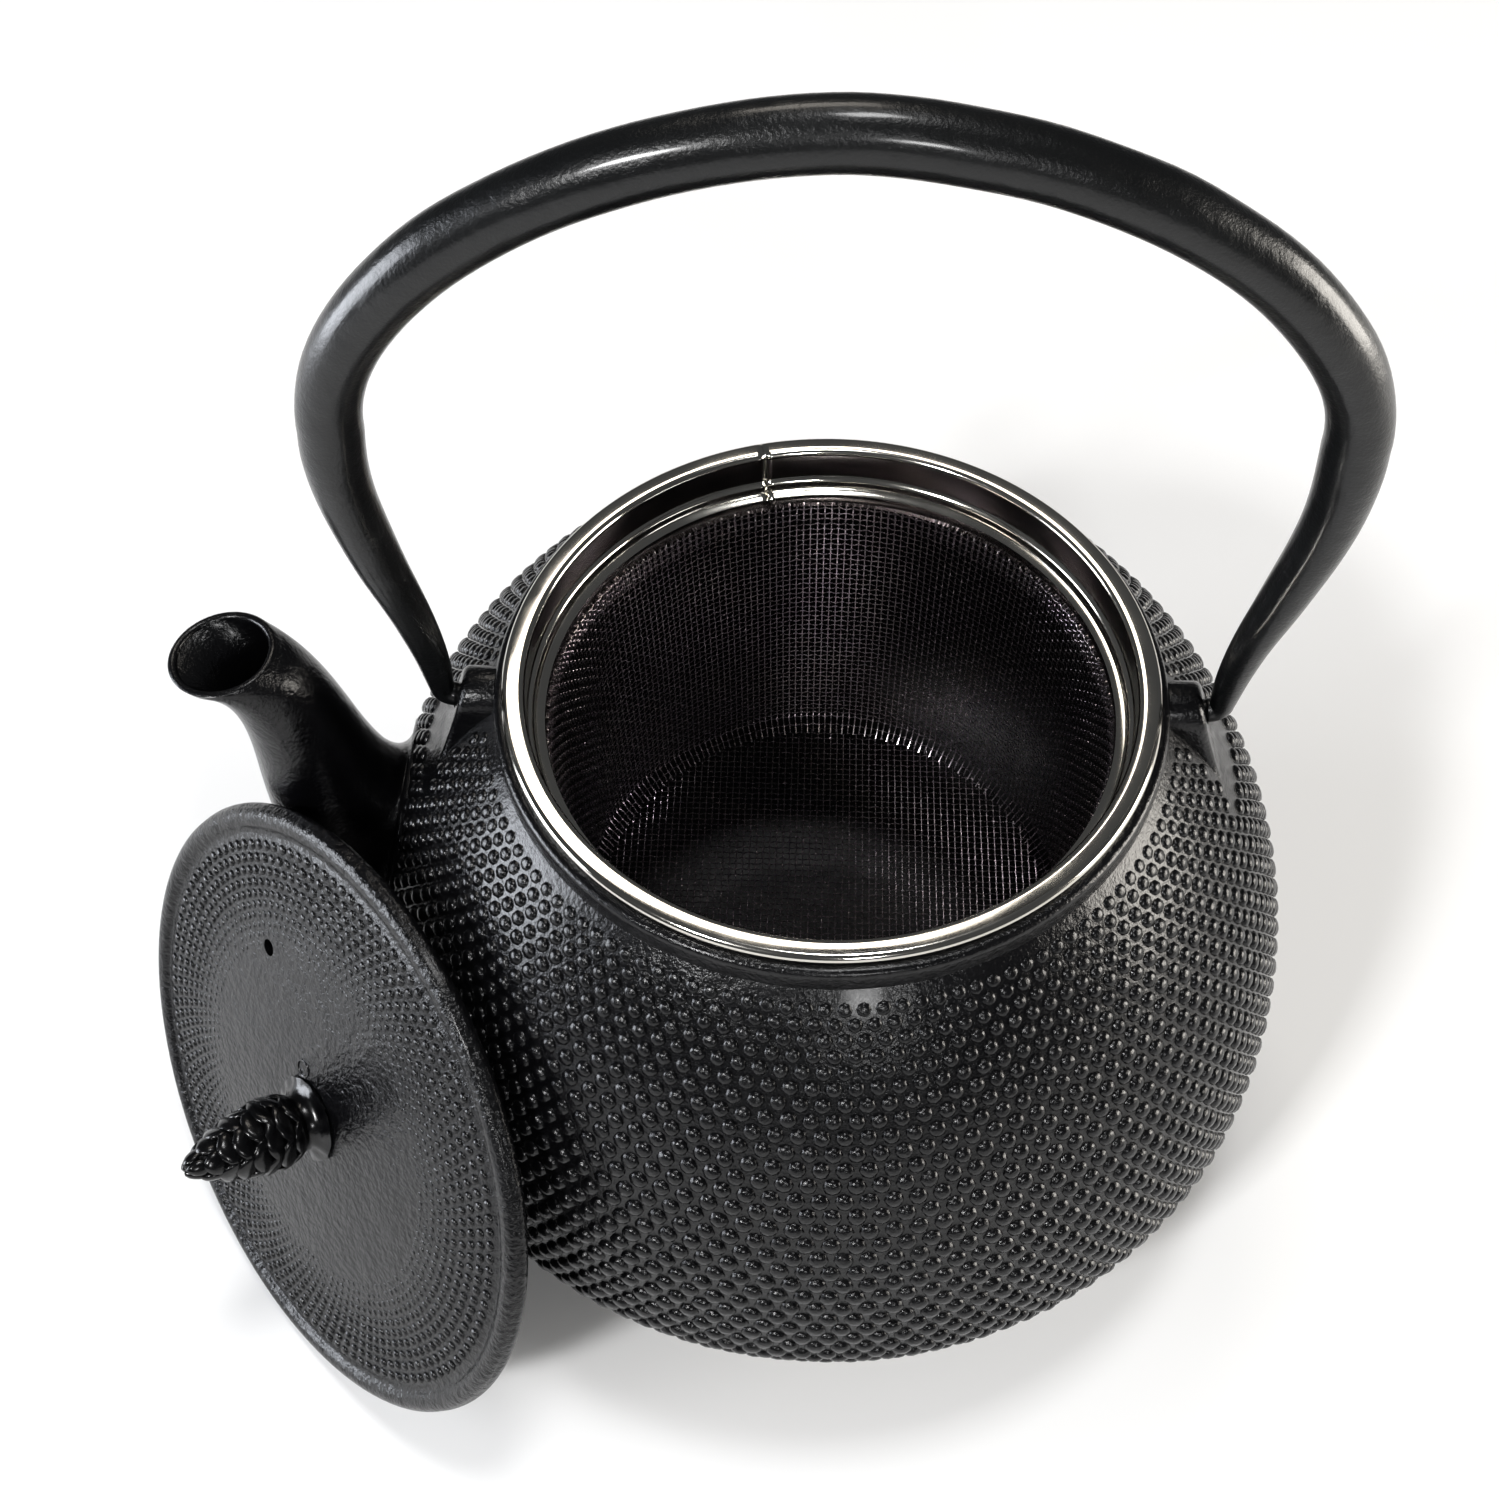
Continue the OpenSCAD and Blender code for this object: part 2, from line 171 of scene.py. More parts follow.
class SpoutSizes(bpy.types.PropertyGroup):
    """Sizes of the spout."""

    root_x: length("Root distance", "Distance of the root's centre from the axis", 69.46)
    root_z: length("Root height", "Height where the centre line leaves the body", 60)
    mouth_x: length("Mouth distance", "Distance of the mouth's centre from the axis", 97.2)
    mouth_z: length("Mouth height", "Height of the mouth", 120)
    mouth_r: length("Mouth radius", "Outer radius of the lip", 8.95)
    lip: length("Lip", "Thickness of the lip", 1.5)
    wall: length("Root wall", "Thickness of the wall at the root", 3.2)
    fillet: length("Flare", "Width of the flare where the spout meets the body", 6)
    ridge: length("Ridge", "Height of the ridge around the flare", 0.7)


class HobnailSizes(bpy.types.PropertyGroup):
    """Pattern of cast nails on the body and the lid."""

    around: IntProperty(name="Nails around", description="Nails in each row", default=124, min=12)
    fill: FloatProperty(name="Fill", description="Nail width as a share of the pitch", default=0.86)
    rise: FloatProperty(name="Rise", description="Nail height as a share of the pitch", default=0.21)
    start_z: length("First row", "Height of the first row under the collar", 110.8)
    end_z: length("Last row", "Height of the last row over the foot", 8)


class HandleSizes(bpy.types.PropertyGroup):
    """Sizes of the bail handle."""

    half_w: length("Half width", "Half the greatest width between centre lines", 70.6)
    top_z: length("Top height", "Height of the top centre line", 221.2)
    arch_h: length("Arch height", "Height of the arch over its widest point", 49.8)
    foot_x: length("Foot distance", "Distance of the feet from the axis", 62.9)
    thick: length("Thickness", "Thickness along the arch", 9.3)
    foot_thick: length("Foot thickness", "Thickness of the feet", 4)
    pin_r: length("Pin radius", "Radius of the pivot ends", 1.6)


class InfuserSizes(bpy.types.PropertyGroup):
    """Sizes of the strainer basket."""

    rim_top: length("Rim height", "Height of the rolled lip's top", 119.1)
    lip_r: length("Lip radius", "Outer radius of the rolled lip", 52.5)
    band_r: length("Band radius", "Outer radius of the band", 49.3)
    ledge_z: length("Ledge height", "Height of the ledge under the band", 110.8)
    skirt_r: length("Skirt radius", "Inner radius of the skirt", 46)
    sheet: length("Sheet", "Thickness of the rim's sheet", 0.6)
    mesh_r: length("Cloth radius", "Middle radius of the woven wall at its top", 46.95)
    taper: length("Taper", "Inward taper of the woven wall", 2.4)
    floor_z: length("Cloth floor", "Height of the woven bottom", 46.35)
    wire_d: length("Wire", "Diameter of the cloth's wire", 0.27)
    around: IntProperty(name="Upright wires", description="Wires around the wall", default=232, min=24)


class LidSizes(bpy.types.PropertyGroup):
    """Sizes of the lid and its knob."""

    radius: length("Lid radius", "Outer radius of the lid", 55.4)
    edge: length("Edge", "Thickness of the rounded edge", 2.6)
    rise: length("Rise", "Rise of the domed face over the edge", 2.6)
    bead_w: length("Bead width", "Width of the smooth bead inside the edge", 4.6)
    flange_r: length("Flange radius", "Outer radius of the locating flange", 47.8)
    flange_t: length("Flange", "Thickness of the locating flange", 2.4)
    flange_h: length("Flange depth", "Depth of the flange below the underside", 3.2)
    vent_r: length("Vent radius", "Radius of the steam vent", 1.5)
    vent_at: length("Vent distance", "Distance of the vent from the lid's centre", 30.5)
    knob_h: length("Knob height", "Height of the knob above the lid", 23.4)
    knob_r: length("Knob radius", "Largest radius of the cone-shaped grip", 6.4)
    knob_foot_r: length("Knob foot", "Radius of the flared collar on the lid", 7.6)
    knob_foot_h: length("Knob foot height", "Height of the flared collar", 3.2)
    shank_r: length("Shank", "Radius of the shank through the lid", 2)


class Finishes(bpy.types.PropertyGroup):
    """Colours of the finishes."""

    lacquer: colour("Lacquer", "Semi-gloss lacquer on the pot and lid", "#0c0c0e")
    enamel: colour("Enamel", "Enamel inside the pot", "#070708")
    handle: colour("Handle lacquer", "Satin lacquer on the handle", "#0d0e0f")
    knob: colour("Knob lacquer", "Gloss lacquer on the knob", "#08080a")
    steel: colour("Polished steel", "Polished rim", "#cdcac3")
    wire: colour("Wire", "Drawn wire of the cloth", "#e6e1df")
    floor: colour("Floor", "Pale floor", "#f4f4f4")


# ---------------------------------------------------------------- materials


def add(tree, kind, inputs=None, **settings):
    """Adds a node, applies its settings, and sets or links its inputs."""
    made = tree.nodes.new(kind)
    for key, value in settings.items():
        setattr(made, key, value)
    for key, value in (inputs or {}).items():
        if isinstance(value, bpy.types.NodeSocket):
            tree.links.new(value, made.inputs[key])
        else:
            made.inputs[key].default_value = value
    return made


def new_material(name):
    """An empty node material and its tree."""
    material = bpy.data.materials.new(name)
    material.use_nodes = True
    material.node_tree.nodes.clear()
    return material, material.node_tree


def finish_shader(tree, inputs):
    """The principled shader and the output of a material."""
    shader = add(tree, "ShaderNodeBsdfPrincipled", inputs)
    add(tree, "ShaderNodeOutputMaterial", {"Surface": shader.outputs["BSDF"]})


def per_metre(millimetres):
    """Scale of a noise whose lumps are this wide."""
    return 1 / (millimetres * MM)


def lacquered_iron(name, base, grain_mm, grain_rise_mm, lump_rise_mm, roughness, spread, coat):
    """Cast iron under brushed-on lacquer: the sand mould leaves a fine grain and soft lumps,
    the lacquer fills them unevenly, so highlights break into specks."""
    material, tree = new_material(name)
    place = add(tree, "ShaderNodeTexCoord").outputs["Object"]
    # The sand's grain, soft lumps about 5 mm across, and dust and rubbed spots about 25 mm across
    # that change the gloss a little
    grain, lumps, wear = (
        add(
            tree,
            "ShaderNodeTexNoise",
            {"Vector": place, "Scale": per_metre(width), "Detail": detail, "Roughness": fine},
        ).outputs["Fac"]
        for width, detail, fine in ((grain_mm, 3, 0.55), (5, 2, 0.5), (25, 4, 0.6))
    )
    gloss = add(
        tree,
        "ShaderNodeMapRange",
        {
            "Value": wear,
            "From Min": 0.3,
            "From Max": 0.7,
            "To Min": roughness - spread,
            "To Max": roughness + spread,
        },
    ).outputs["Result"]
    worn, thick = ([min(1, c * share) for c in base[:3]] + [1] for share in (0.75, 1.3))
    tint = add(tree, "ShaderNodeMix", {"Factor": wear, "A": worn, "B": thick}, data_type="RGBA")
    soft = add(tree, "ShaderNodeBump", {"Height": lumps, "Distance": lump_rise_mm * MM, "Strength": 1})
    rough = add(
        tree,
        "ShaderNodeBump",
        {"Height": grain, "Distance": grain_rise_mm * MM, "Strength": 1, "Normal": soft.outputs["Normal"]},
    )
    finish_shader(
        tree,
        {
            "Base Color": tint.outputs[2],
            "Roughness": gloss,
            "IOR": 1.42,
            "Coat Weight": coat,
            "Coat Roughness": 0.14,
            "Normal": rough.outputs["Normal"],
        },
    )
    return material


def polished_steel(base):
    """Stainless sheet, polished round the ring: hairlines run around it and soften the mirror."""
    material, tree = new_material("polished_stainless_sheet")
    place = add(tree, "ShaderNodeTexCoord").outputs["Object"]
    spot = add(tree, "ShaderNodeSeparateXYZ", {"Vector": place})
    level = add(tree, "ShaderNodeVectorMath", {0: place, 1: (1, 1, 0)}, operation="MULTIPLY")
    around = level.outputs["Vector"]
    out = add(tree, "ShaderNodeVectorMath", {0: around}, operation="LENGTH").outputs["Value"]
    # Only the radius and the height vary, so each line is a ring about 0.15 mm wide
    ring = add(tree, "ShaderNodeCombineXYZ", {"X": out, "Z": spot.outputs["Z"]}).outputs["Vector"]
    hair = add(
        tree, "ShaderNodeTexNoise", {"Vector": ring, "Scale": per_metre(0.15), "Detail": 2, "Roughness": 0.5}
    ).outputs["Fac"]
    smear = add(
        tree, "ShaderNodeTexNoise", {"Vector": place, "Scale": per_metre(18), "Detail": 4, "Roughness": 0.6}
    ).outputs["Fac"]
    gloss = add(
        tree,
        "ShaderNodeMapRange",
        {"Value": smear, "From Min": 0.35, "From Max": 0.7, "To Min": 0.07, "To Max": 0.17},
    ).outputs["Result"]
    lines = add(tree, "ShaderNodeBump", {"Height": hair, "Distance": 0.002 * MM, "Strength": 0.6})
    finish_shader(
        tree,
        {"Base Color": list(base), "Metallic": 1, "Roughness": gloss, "Normal": lines.outputs["Normal"]},
    )
    return material


def drawn_wire(base):
    """Annealed stainless wire: bright where it crosses, with a grey-violet bloom from the furnace."""
    material, tree = new_material("drawn_stainless_wire")
    place = add(tree, "ShaderNodeTexCoord").outputs["Object"]
    bloom = add(
        tree, "ShaderNodeTexNoise", {"Vector": place, "Scale": per_metre(14), "Detail": 3, "Roughness": 0.5}
    ).outputs["Fac"]
    scratch = add(
        tree, "ShaderNodeTexNoise", {"Vector": place, "Scale": per_metre(0.3), "Detail": 1, "Roughness": 0.5}
    ).outputs["Fac"]
    tint = add(
        tree,
        "ShaderNodeMix",
        {"Factor": bloom, "A": list(base), "B": linear("#c9bfca")},
        data_type="RGBA",
    )
    gloss = add(tree, "ShaderNodeMapRange", {"Value": scratch, "To Min": 0.18, "To Max": 0.36})
    finish_shader(
        tree, {"Base Color": tint.outputs[2], "Metallic": 1, "Roughness": gloss.outputs["Result"]}
    )
    return material


# Each lacquered finish: its material's name, its colour, the grain in mm and its rise, the rise
# of the lumps, the roughness and its spread, and the weight of the clear coat
IRON_FINISHES = {
    # Lacquer brushed over sand-cast iron: near black, its highlights broken into specks
    "lacquer": ("lacquered_cast_iron", "lacquer", 0.65, 0.14, 0.35, 0.24, 0.04, 0.15),
    # The same lacquer over coarser sand: a granular face with a dull sheen
    "lid": ("lacquered_granular_iron", "lacquer", 1.2, 0.4, 0.4, 0.25, 0.04, 0.1),
    # Fired enamel inside: dark, even and satin
    "enamel": ("vitreous_enamel", "enamel", 1.2, 0.02, 0.15, 0.45, 0.05, 0.0),
    # Satin lacquer on a ground bar: smooth, with long soft streaks of light
    "handle": ("satin_lacquered_iron", "handle", 0.5, 0.08, 0.3, 0.33, 0.04, 0.4),
    # Gloss lacquer on the knob: small sharp glints on its scales
    "knob": ("gloss_lacquered_iron", "knob", 0.7, 0.04, 0.2, 0.24, 0.04, 0.2),
}
METALS = {"steel": polished_steel, "wire": drawn_wire}
MATERIALS = {}


def material(name):
    """The named material of this object, made once."""
    if name not in MATERIALS:
        finish = bpy.context.scene.teapot_finishes
        if name in METALS:
            MATERIALS[name] = METALS[name](getattr(finish, name))
        else:
            title, base, *values = IRON_FINISHES[name]
            MATERIALS[name] = lacquered_iron(title, getattr(finish, base), *values)
    return MATERIALS[name]


# ---------------------------------------------------------------- mesh tools


def spun(profile, steps, closed=True):
    """A shape turned about Z from (radius, height) points."""
    bm = bmesh.new()
    verts = [bm.verts.new((r, 0, z)) for r, z in profile]
    ends = verts[1:] + verts[:1] if closed else verts[1:]
    edges = [bm.edges.new(pair) for pair in zip(verts, ends)]
    bmesh.ops.spin(
        bm, geom=verts + edges, cent=(0, 0, 0), axis=UP, angle=math.tau, steps=steps, use_merge=True
    )
    bmesh.ops.remove_doubles(bm, verts=bm.verts, dist=0.001 * MM)
    bmesh.ops.recalc_face_normals(bm, faces=bm.faces)
    return bm


def sealed(bm, sides=0):
    """Caps the open ends that have up to this many sides, or all of them, and turns the faces outward."""
    bmesh.ops.holes_fill(bm, edges=[edge for edge in bm.edges if edge.is_boundary], sides=sides)
    bmesh.ops.recalc_face_normals(bm, faces=bm.faces)
    return bm


def copied(bm, count, angle=0.0, step=(0, 0, 0)):
    """Copies all that a mesh holds, count times, along a turn about Z or a straight step."""
    bmesh.ops.spin(
        bm,
        geom=list(bm.verts) + list(bm.edges) + list(bm.faces),
        cent=(0, 0, 0),
        axis=UP,
        dvec=step,
        angle=angle,
        steps=count,
        use_duplicate=True,
    )


def turned(bm, degrees):
    """Turns a mesh about Z."""
    matrix = Matrix.Rotation(math.radians(degrees), 3, "Z")
    bmesh.ops.rotate(bm, verts=bm.verts, cent=(0, 0, 0), matrix=matrix)


def lofted(rings):
    """A skin drawn through rings of equal count, with both ends capped."""
    bm = bmesh.new()
    verts = bmesh.ops.create_circle(bm, cap_ends=False, segments=len(rings[0]), radius=MM)["verts"]
    edges = list(bm.edges)
    for ring in rings:
        if ring is not rings[0]:
            made = bmesh.ops.extrude_edge_only(bm, edges=edges)["geom"]
            fresh = {part for part in made if isinstance(part, bmesh.types.BMVert)}
            lines = [part for part in made if isinstance(part, bmesh.types.BMEdge)]
            edges = [line for line in lines if fresh.issuperset(line.verts)]
            verts = [next(e.other_vert(v) for e in v.link_edges if e.other_vert(v) in fresh) for v in verts]
        for vert, co in zip(verts, ring):
            vert.co = co
    return sealed(bm)


def tube_ring(centre, radius, normal, sides):
    """Points of a round section in a plane that stands on XZ; normal is its direction in XZ."""
    across = Vector((normal.z, 0, -normal.x)).normalized()
    turns = [math.tau * k / sides for k in range(sides)]
    return [centre + radius * (across * math.cos(a) + Vector((0, math.sin(a), 0))) for a in turns]


def arc(centre_r, centre_z, size, degrees):
    """Points (radius, height) of an arc about a centre, one at each of these angles."""
    turns = [math.radians(a) for a in degrees]
    return [(centre_r + size * math.cos(a), centre_z + size * math.sin(a)) for a in turns]


def bezier(points, t):
    """A point, or a number, on a cubic curve."""
    a, b, c, d = points
    s = 1 - t
    return a * s**3 + b * (3 * t * s * s) + c * (3 * t * t * s) + d * t**3


def ease(t):
    """A smooth step from 0 to 1."""
    t = min(1, max(0, t))
    return t * t * (3 - 2 * t)


def bare_object(bm):
    """An object that holds a mesh for a moment."""
    mesh = bpy.data.meshes.new("scratch")
    bm.to_mesh(mesh)
    bm.free()
    held = bpy.data.objects.new("scratch", mesh)
    bpy.context.scene.collection.objects.link(held)
    return held


def combined(base, steps):
    """base with each (operation, shape) of steps applied by an exact boolean."""
    host = bare_object(base)
    tools = []
    for operation, bm in steps:
        tools.append(bare_object(bm))
        change = host.modifiers.new(operation.lower(), "BOOLEAN")
        change.solver = "EXACT"
        change.operation = operation
        change.object = tools[-1]
    scene_state = bpy.context.evaluated_depsgraph_get()
    result = bmesh.new()
    result.from_mesh(host.evaluated_get(scene_state).to_mesh())
    for held in [host] + tools:
        mesh = held.data
        bpy.data.objects.remove(held)
        bpy.data.meshes.remove(mesh)
    return result


def joined(shapes):
    """One bmesh that holds several."""
    whole = bmesh.new()
    for bm in shapes:
        mesh = bpy.data.meshes.new("scratch")
        bm.to_mesh(mesh)
        bm.free()
        whole.from_mesh(mesh)
        bpy.data.meshes.remove(mesh)
    return whole


def piece(name, bm, materials, body, replaced=(), crease=35):
    """A finished, smooth-shaded object that rides on a CAD body."""
    for face in bm.faces:
        face.smooth = True
    for edge in bm.edges:
        edge.smooth = not (edge.is_manifold and edge.calc_face_angle() > math.radians(crease))
    mesh = bpy.data.meshes.new(name)
    bm.to_mesh(mesh)
    bm.free()
    for each in materials:
        mesh.materials.append(material(each))
    made = bpy.data.objects.new(name, mesh)
    bpy.context.scene.collection.objects.link(made)
    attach(made, body)
    if replaced:
        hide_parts(*replaced)
    return made


# ---------------------------------------------------------------- pot


def dome_height(pot):
    """Half axis of the shoulder's ellipse, which meets the foot of the collar."""
    share = pot.neck_d / pot.body_d
    return (pot.neck_top - pot.collar_h - pot.belly_z) / math.sqrt(1 - share * share)


def body_radius(pot, z):
    """Radius of the body's outside at a height."""
    half = dome_height(pot) if z > pot.belly_z else pot.bowl_h
    return pot.body_d / 2 * math.sqrt(max(0, 1 - ((z - pot.belly_z) / half) ** 2))


def body_normal(pot, z):
    """Outward direction (radius, height) of the body's surface at a height."""
    half = dome_height(pot) if z > pot.belly_z else pot.bowl_h
    out = body_radius(pot, z) / (pot.body_d / 2) ** 2
    rise = (z - pot.belly_z) / half**2
    size = math.hypot(out, rise)
    return out / size, rise / size


def body_curve(pot, inset, top_r, low_z, steps):
    """Points down the body's curve, thinned by an inset, from one radius to a low height."""
    r = pot.body_d / 2 - inset
    up = dome_height(pot) - inset
    down = pot.bowl_h - inset
    first = math.asin(top_r / r)
    last = math.pi - math.acos((pot.belly_z - low_z) / down)
    points = []
    for i in range(steps + 1):
        a = first + (math.pi / 2 - first) * i / steps
        points.append((r * math.sin(a), pot.belly_z + up * math.cos(a)))
    for i in range(1, steps + 1):
        a = math.pi / 2 + (last - math.pi / 2) * i / steps
        points.append((r * math.sin(a), pot.belly_z + down * math.cos(a)))
    return points


def pot_outside(pot):
    """The pot's outer form, turned: collar, body and foot ring."""
    neck_r = pot.neck_d / 2
    soft = 1.2 * MM
    foot_r = pot.foot_d / 2
    edge = 0.8 * MM
    profile = [(0, pot.neck_top)]
    profile += arc(neck_r - soft, pot.neck_top - soft, soft, range(90, -1, -18))
    curve = body_curve(pot, 0, neck_r, pot.foot_recess, 56)
    # The body's curve stops at the foot ring, which runs straight down from it
    profile += [p for p in curve if p[0] > foot_r or p[1] > pot.belly_z]
    profile += arc(foot_r - edge, edge, edge, range(0, -91, -18))
    profile += [(foot_r - pot.foot_w, 0), (foot_r - pot.foot_w, pot.foot_recess), (0, pot.foot_recess)]
    return spun(profile, 192, closed=False)


def pot_inside(pot):
    """The space inside the pot, turned; its faces carry the enamel."""
    bore_r = pot.neck_d / 2 - pot.neck_wall
    low = pot.foot_recess + pot.floor_t
    profile = [(0, pot.neck_top + CLEAR), (bore_r, pot.neck_top + CLEAR)]
    profile += body_curve(pot, pot.wall, bore_r, low, 28) + [(0, low)]
    bm = spun(profile, 144, closed=False)
    for face in bm.faces:
        face.material_index = 1
    return bm


class SpoutLine:
    """The spout's bent centre line and its radius, from the root at 0 to the mouth at 1."""

    def __init__(self, pot, spout):
        self.pot = pot
        self.spout = spout
        root = Vector((-spout.root_x, 0, spout.root_z))
        mouth = Vector((-spout.mouth_x, 0, spout.mouth_z))
        self.root_turn, self.mouth_turn = (math.radians(a) for a in SPOUT_TURNS)
        pull = 31 * MM * Vector((math.cos(self.root_turn), 0, math.sin(self.root_turn)))
        self.line = [root, root + pull, mouth + Vector((17, 0, -7)) * MM, mouth]
        self.widths = [w * MM for w in SPOUT_WIDTHS]

    def centre(self, t):
        return bezier(self.line, t)

    def radius(self, t):
        return bezier(self.widths, t) + (self.spout.mouth_r - self.widths[3]) * t**8

    def normal(self, t):
        turn = self.root_turn + (self.mouth_turn - self.root_turn) * ease(t / 0.55)
        return Vector((math.cos(turn), 0, math.sin(turn)))

    def wall(self, t):
        return self.spout.wall + (self.spout.lip - self.spout.wall) * t

    def skin(self, t, a, thinner=0):
        """A point on the spout's skin; a is the angle round it."""
        normal = self.normal(t)
        across = Vector((normal.z, 0, -normal.x))
        side = across * math.cos(a) + Vector((0, math.sin(a), 0))
        return self.centre(t) + (self.radius(t) - thinner) * side

    def leaves_body(self, a):
        """Where along the spout this line of its skin comes out of the body."""
        low, high = 0.0, 0.9
        for _ in range(30):
            t = (low + high) / 2
            point = self.skin(t, a)
            inside = math.hypot(point.x, point.y) < body_radius(self.pot, point.z)
            low, high = (t, high) if inside else (low, t)
        return low


def on_body(pot, point, lift=0):
    """The point moved along the radius onto the body, then lifted off it."""
    z = point.z
    away = Vector((point.x, point.y, 0)).normalized()
    out, rise = body_normal(pot, z)
    return away * (body_radius(pot, z) + lift * out) + UP * (z + lift * rise)


def flare_lines(pot, spout, line, sides):
    """For each angle round the spout, points from the body's surface up the flare to the spout's skin."""
    lines = []
    for k in range(sides):
        a = math.tau * k / sides
        t = line.leaves_body(a)
        foot = line.skin(t, a)
        up_t = t + 0.13
        top = line.skin(up_t, a)
        middle = line.centre(t)
        out = (foot - middle).normalized()
        edge = on_body(pot, foot + out * spout.fillet)
        out = (edge - on_body(pot, foot)).normalized()
        points = [
            on_body(pot, edge + out * 1.5 * MM, -1.2 * MM),
            on_body(pot, edge + out * 1.3 * MM, 0.1 * MM),
            on_body(pot, edge + out * 0.9 * MM, 0.7 * spout.ridge),
            on_body(pot, edge + out * 0.3 * MM, spout.ridge),
            on_body(pot, edge - out * 0.4 * MM, 0.75 * spout.ridge),
        ]
        near = on_body(pot, edge - out * 1.1 * MM, 0.35 * spout.ridge)
        for i in range(9):
            s = i / 8
            points.append(near * (1 - s) ** 2 + foot * (2 * s * (1 - s)) + top * s * s)
        lines.append((up_t, points))
    return lines


def spout_solid(pot, spout, line, sides=72):
    """The spout's outer form with its flare and rounded lip, as one plug."""
    lines = flare_lines(pot, spout, line, sides)
    rings = [[line.skin(0.02, math.tau * k / sides, 4 * MM) for k in range(sides)]]
    rings += [[points[i] for _, points in lines] for i in range(len(lines[0][1]))]
    steps = 26
    last = 0.985
    for j in range(1, steps + 1):
        ring = []
        for k in range(sides):
            start = lines[k][0]
            ring.append(line.skin(start + (last - start) * j / steps, math.tau * k / sides))
        rings.append(ring)
    # The lip rounds over to its inner edge
    half = spout.lip / 2
    for a in (35, 65, 90):
        lift = half * math.sin(math.radians(a))
        shrink = half * (1 - math.cos(math.radians(a)))
        centre = line.centre(1) + line.normal(1) * lift
        rings.append(tube_ring(centre, spout.mouth_r - shrink, line.normal(1), sides))
    return lofted(rings)


def spout_passage(spout, line, sides=48):
    """The bore of the spout, widened a little where it rounds over the lip."""
    steps = 20
    rings = []
    for j in range(steps + 1):
        t = 0.97 * j / steps
        rings.append(tube_ring(line.centre(t), line.radius(t) - line.wall(t), line.normal(t), sides))
    half = spout.lip / 2
    inner = spout.mouth_r - spout.lip
    for lift, wider in ((0, 0), (0.5, 0.13), (0.87, 0.5), (1.02, 1), (3, 1.2)):
        centre = line.centre(1) + line.normal(1) * half * lift
        rings.append(tube_ring(centre, inner + half * wider, line.normal(1), sides))
    return lofted(rings)


def lug(pot, side):
    """One lug: a round-topped block that flares into the shoulder, with a sloping outer face."""
    bm = bmesh.new()
    slope = math.tan(math.radians(LUG_SLOPE))
    outline = []
    for i in range(17):
        a = math.pi * i / 16
        outline.append((pot.lug_r * math.cos(a), pot.lug_r * math.sin(a)))
    for i in range(1, 9):
        s = i / 8
        outline.append((-pot.lug_r - (pot.lug_spread - pot.lug_r) * s**LUG_FLARE, -pot.lug_low * s))
    outline += [(-y, z) for y, z in reversed(outline[17:])]
    back = pot.neck_d / 2 - pot.neck_wall / 2
    verts = [bm.verts.new((back, y, pot.pivot_z + z)) for y, z in outline]
    face = bm.faces.new(verts)
    front = bmesh.ops.extrude_face_region(bm, geom=[face])["geom"]
    for vert in (v for v in front if isinstance(v, bmesh.types.BMVert)):
        drop = pot.pivot_z - vert.co.z
        # The outer face swells into the shoulder near its foot
        vert.co.x = pot.lug_x + drop * slope + 1.5 * MM * (max(0, drop) / pot.lug_low) ** 2
    outer = [f for f in front if isinstance(f, bmesh.types.BMFace)]
    rim = [e for f in outer for e in f.edges if max(v.co.z for v in e.verts) > pot.pivot_z - pot.lug_low]
    bmesh.ops.bevel(
        bm, geom=rim, offset=1.1 * MM, segments=3, profile=0.5, affect="EDGES", material=-1
    )
    if side < 0:
        turned(bm, 180)
    bmesh.ops.recalc_face_normals(bm, faces=bm.faces)
    return bm


def rod(radius, start, end, place=Matrix()):
    """A closed rod along Z from start to end, then placed."""
    bm = bmesh.new()
    bmesh.ops.create_cone(
        bm,
        cap_ends=True,
        segments=32,
        radius1=radius,
        radius2=radius,
        depth=end - start,
        matrix=place @ Matrix.Translation((0, 0, (start + end) / 2)),
    )
    return bm


def pivot_cuts(pot, handle):
    """At each lug, the blind hole for the handle's pivot end and the flat spot round it."""
    cuts = []
    for turn in (math.pi / 2, -math.pi / 2):
        place = Matrix.Translation((0, 0, pot.pivot_z)) @ Matrix.Rotation(turn, 4, "Y")
        cuts.append(rod(handle.pin_r + FIT, pot.lug_x - PIVOT_HOLE, pot.lug_x + CLEAR, place))
        cuts.append(rod(pot.spot_r, pot.lug_x, pot.lug_x + pot.lug_low, place))
    return cuts


class TEAPOT_OT_pot(bpy.types.Operator):
    """Builds the pot's casting: body, collar, foot ring, spout and lugs"""

    bl_idname = "teapot.pot"
    bl_label = "Pot casting"

    def execute(self, context):
        scene = context.scene
        pot, spout = scene.teapot_pot, scene.teapot_spout
        line = SpoutLine(pot, spout)
        steps = [("UNION", spout_solid(pot, spout, line))]
        steps += [("UNION", lug(pot, side)) for side in (-1, 1)]
        steps += [("DIFFERENCE", pot_inside(pot)), ("DIFFERENCE", spout_passage(spout, line))]
        steps += [("DIFFERENCE", cut) for cut in pivot_cuts(pot, scene.teapot_handle)]
        bm = combined(pot_outside(pot), steps)
        replaced = ["pot_body", "pot_spout"]
        piece("pot_casting", bm, ["lacquer", "enamel"], "pot", replaced, crease=40)
        return {"FINISHED"}


# ---------------------------------------------------------------- hobnails


def nail(bm, width, height, place):
    """One low dome of a few faces; place puts it on the surface, with Z out of it."""
    made = bmesh.ops.create_uvsphere(bm, u_segments=8, v_segments=6, radius=1)["verts"]
    below = [v for v in made if v.co.z < -0.1]
    bmesh.ops.delete(bm, geom=below, context="VERTS")
    verts = [v for v in made if v.is_valid]
    for vert in verts:
        vert.co.x *= width / 2
        vert.co.y *= width / 2
        vert.co.z = vert.co.z * height - 0.12 * MM * (vert.co.z < 0.1)
        vert.co = place @ vert.co
    return verts


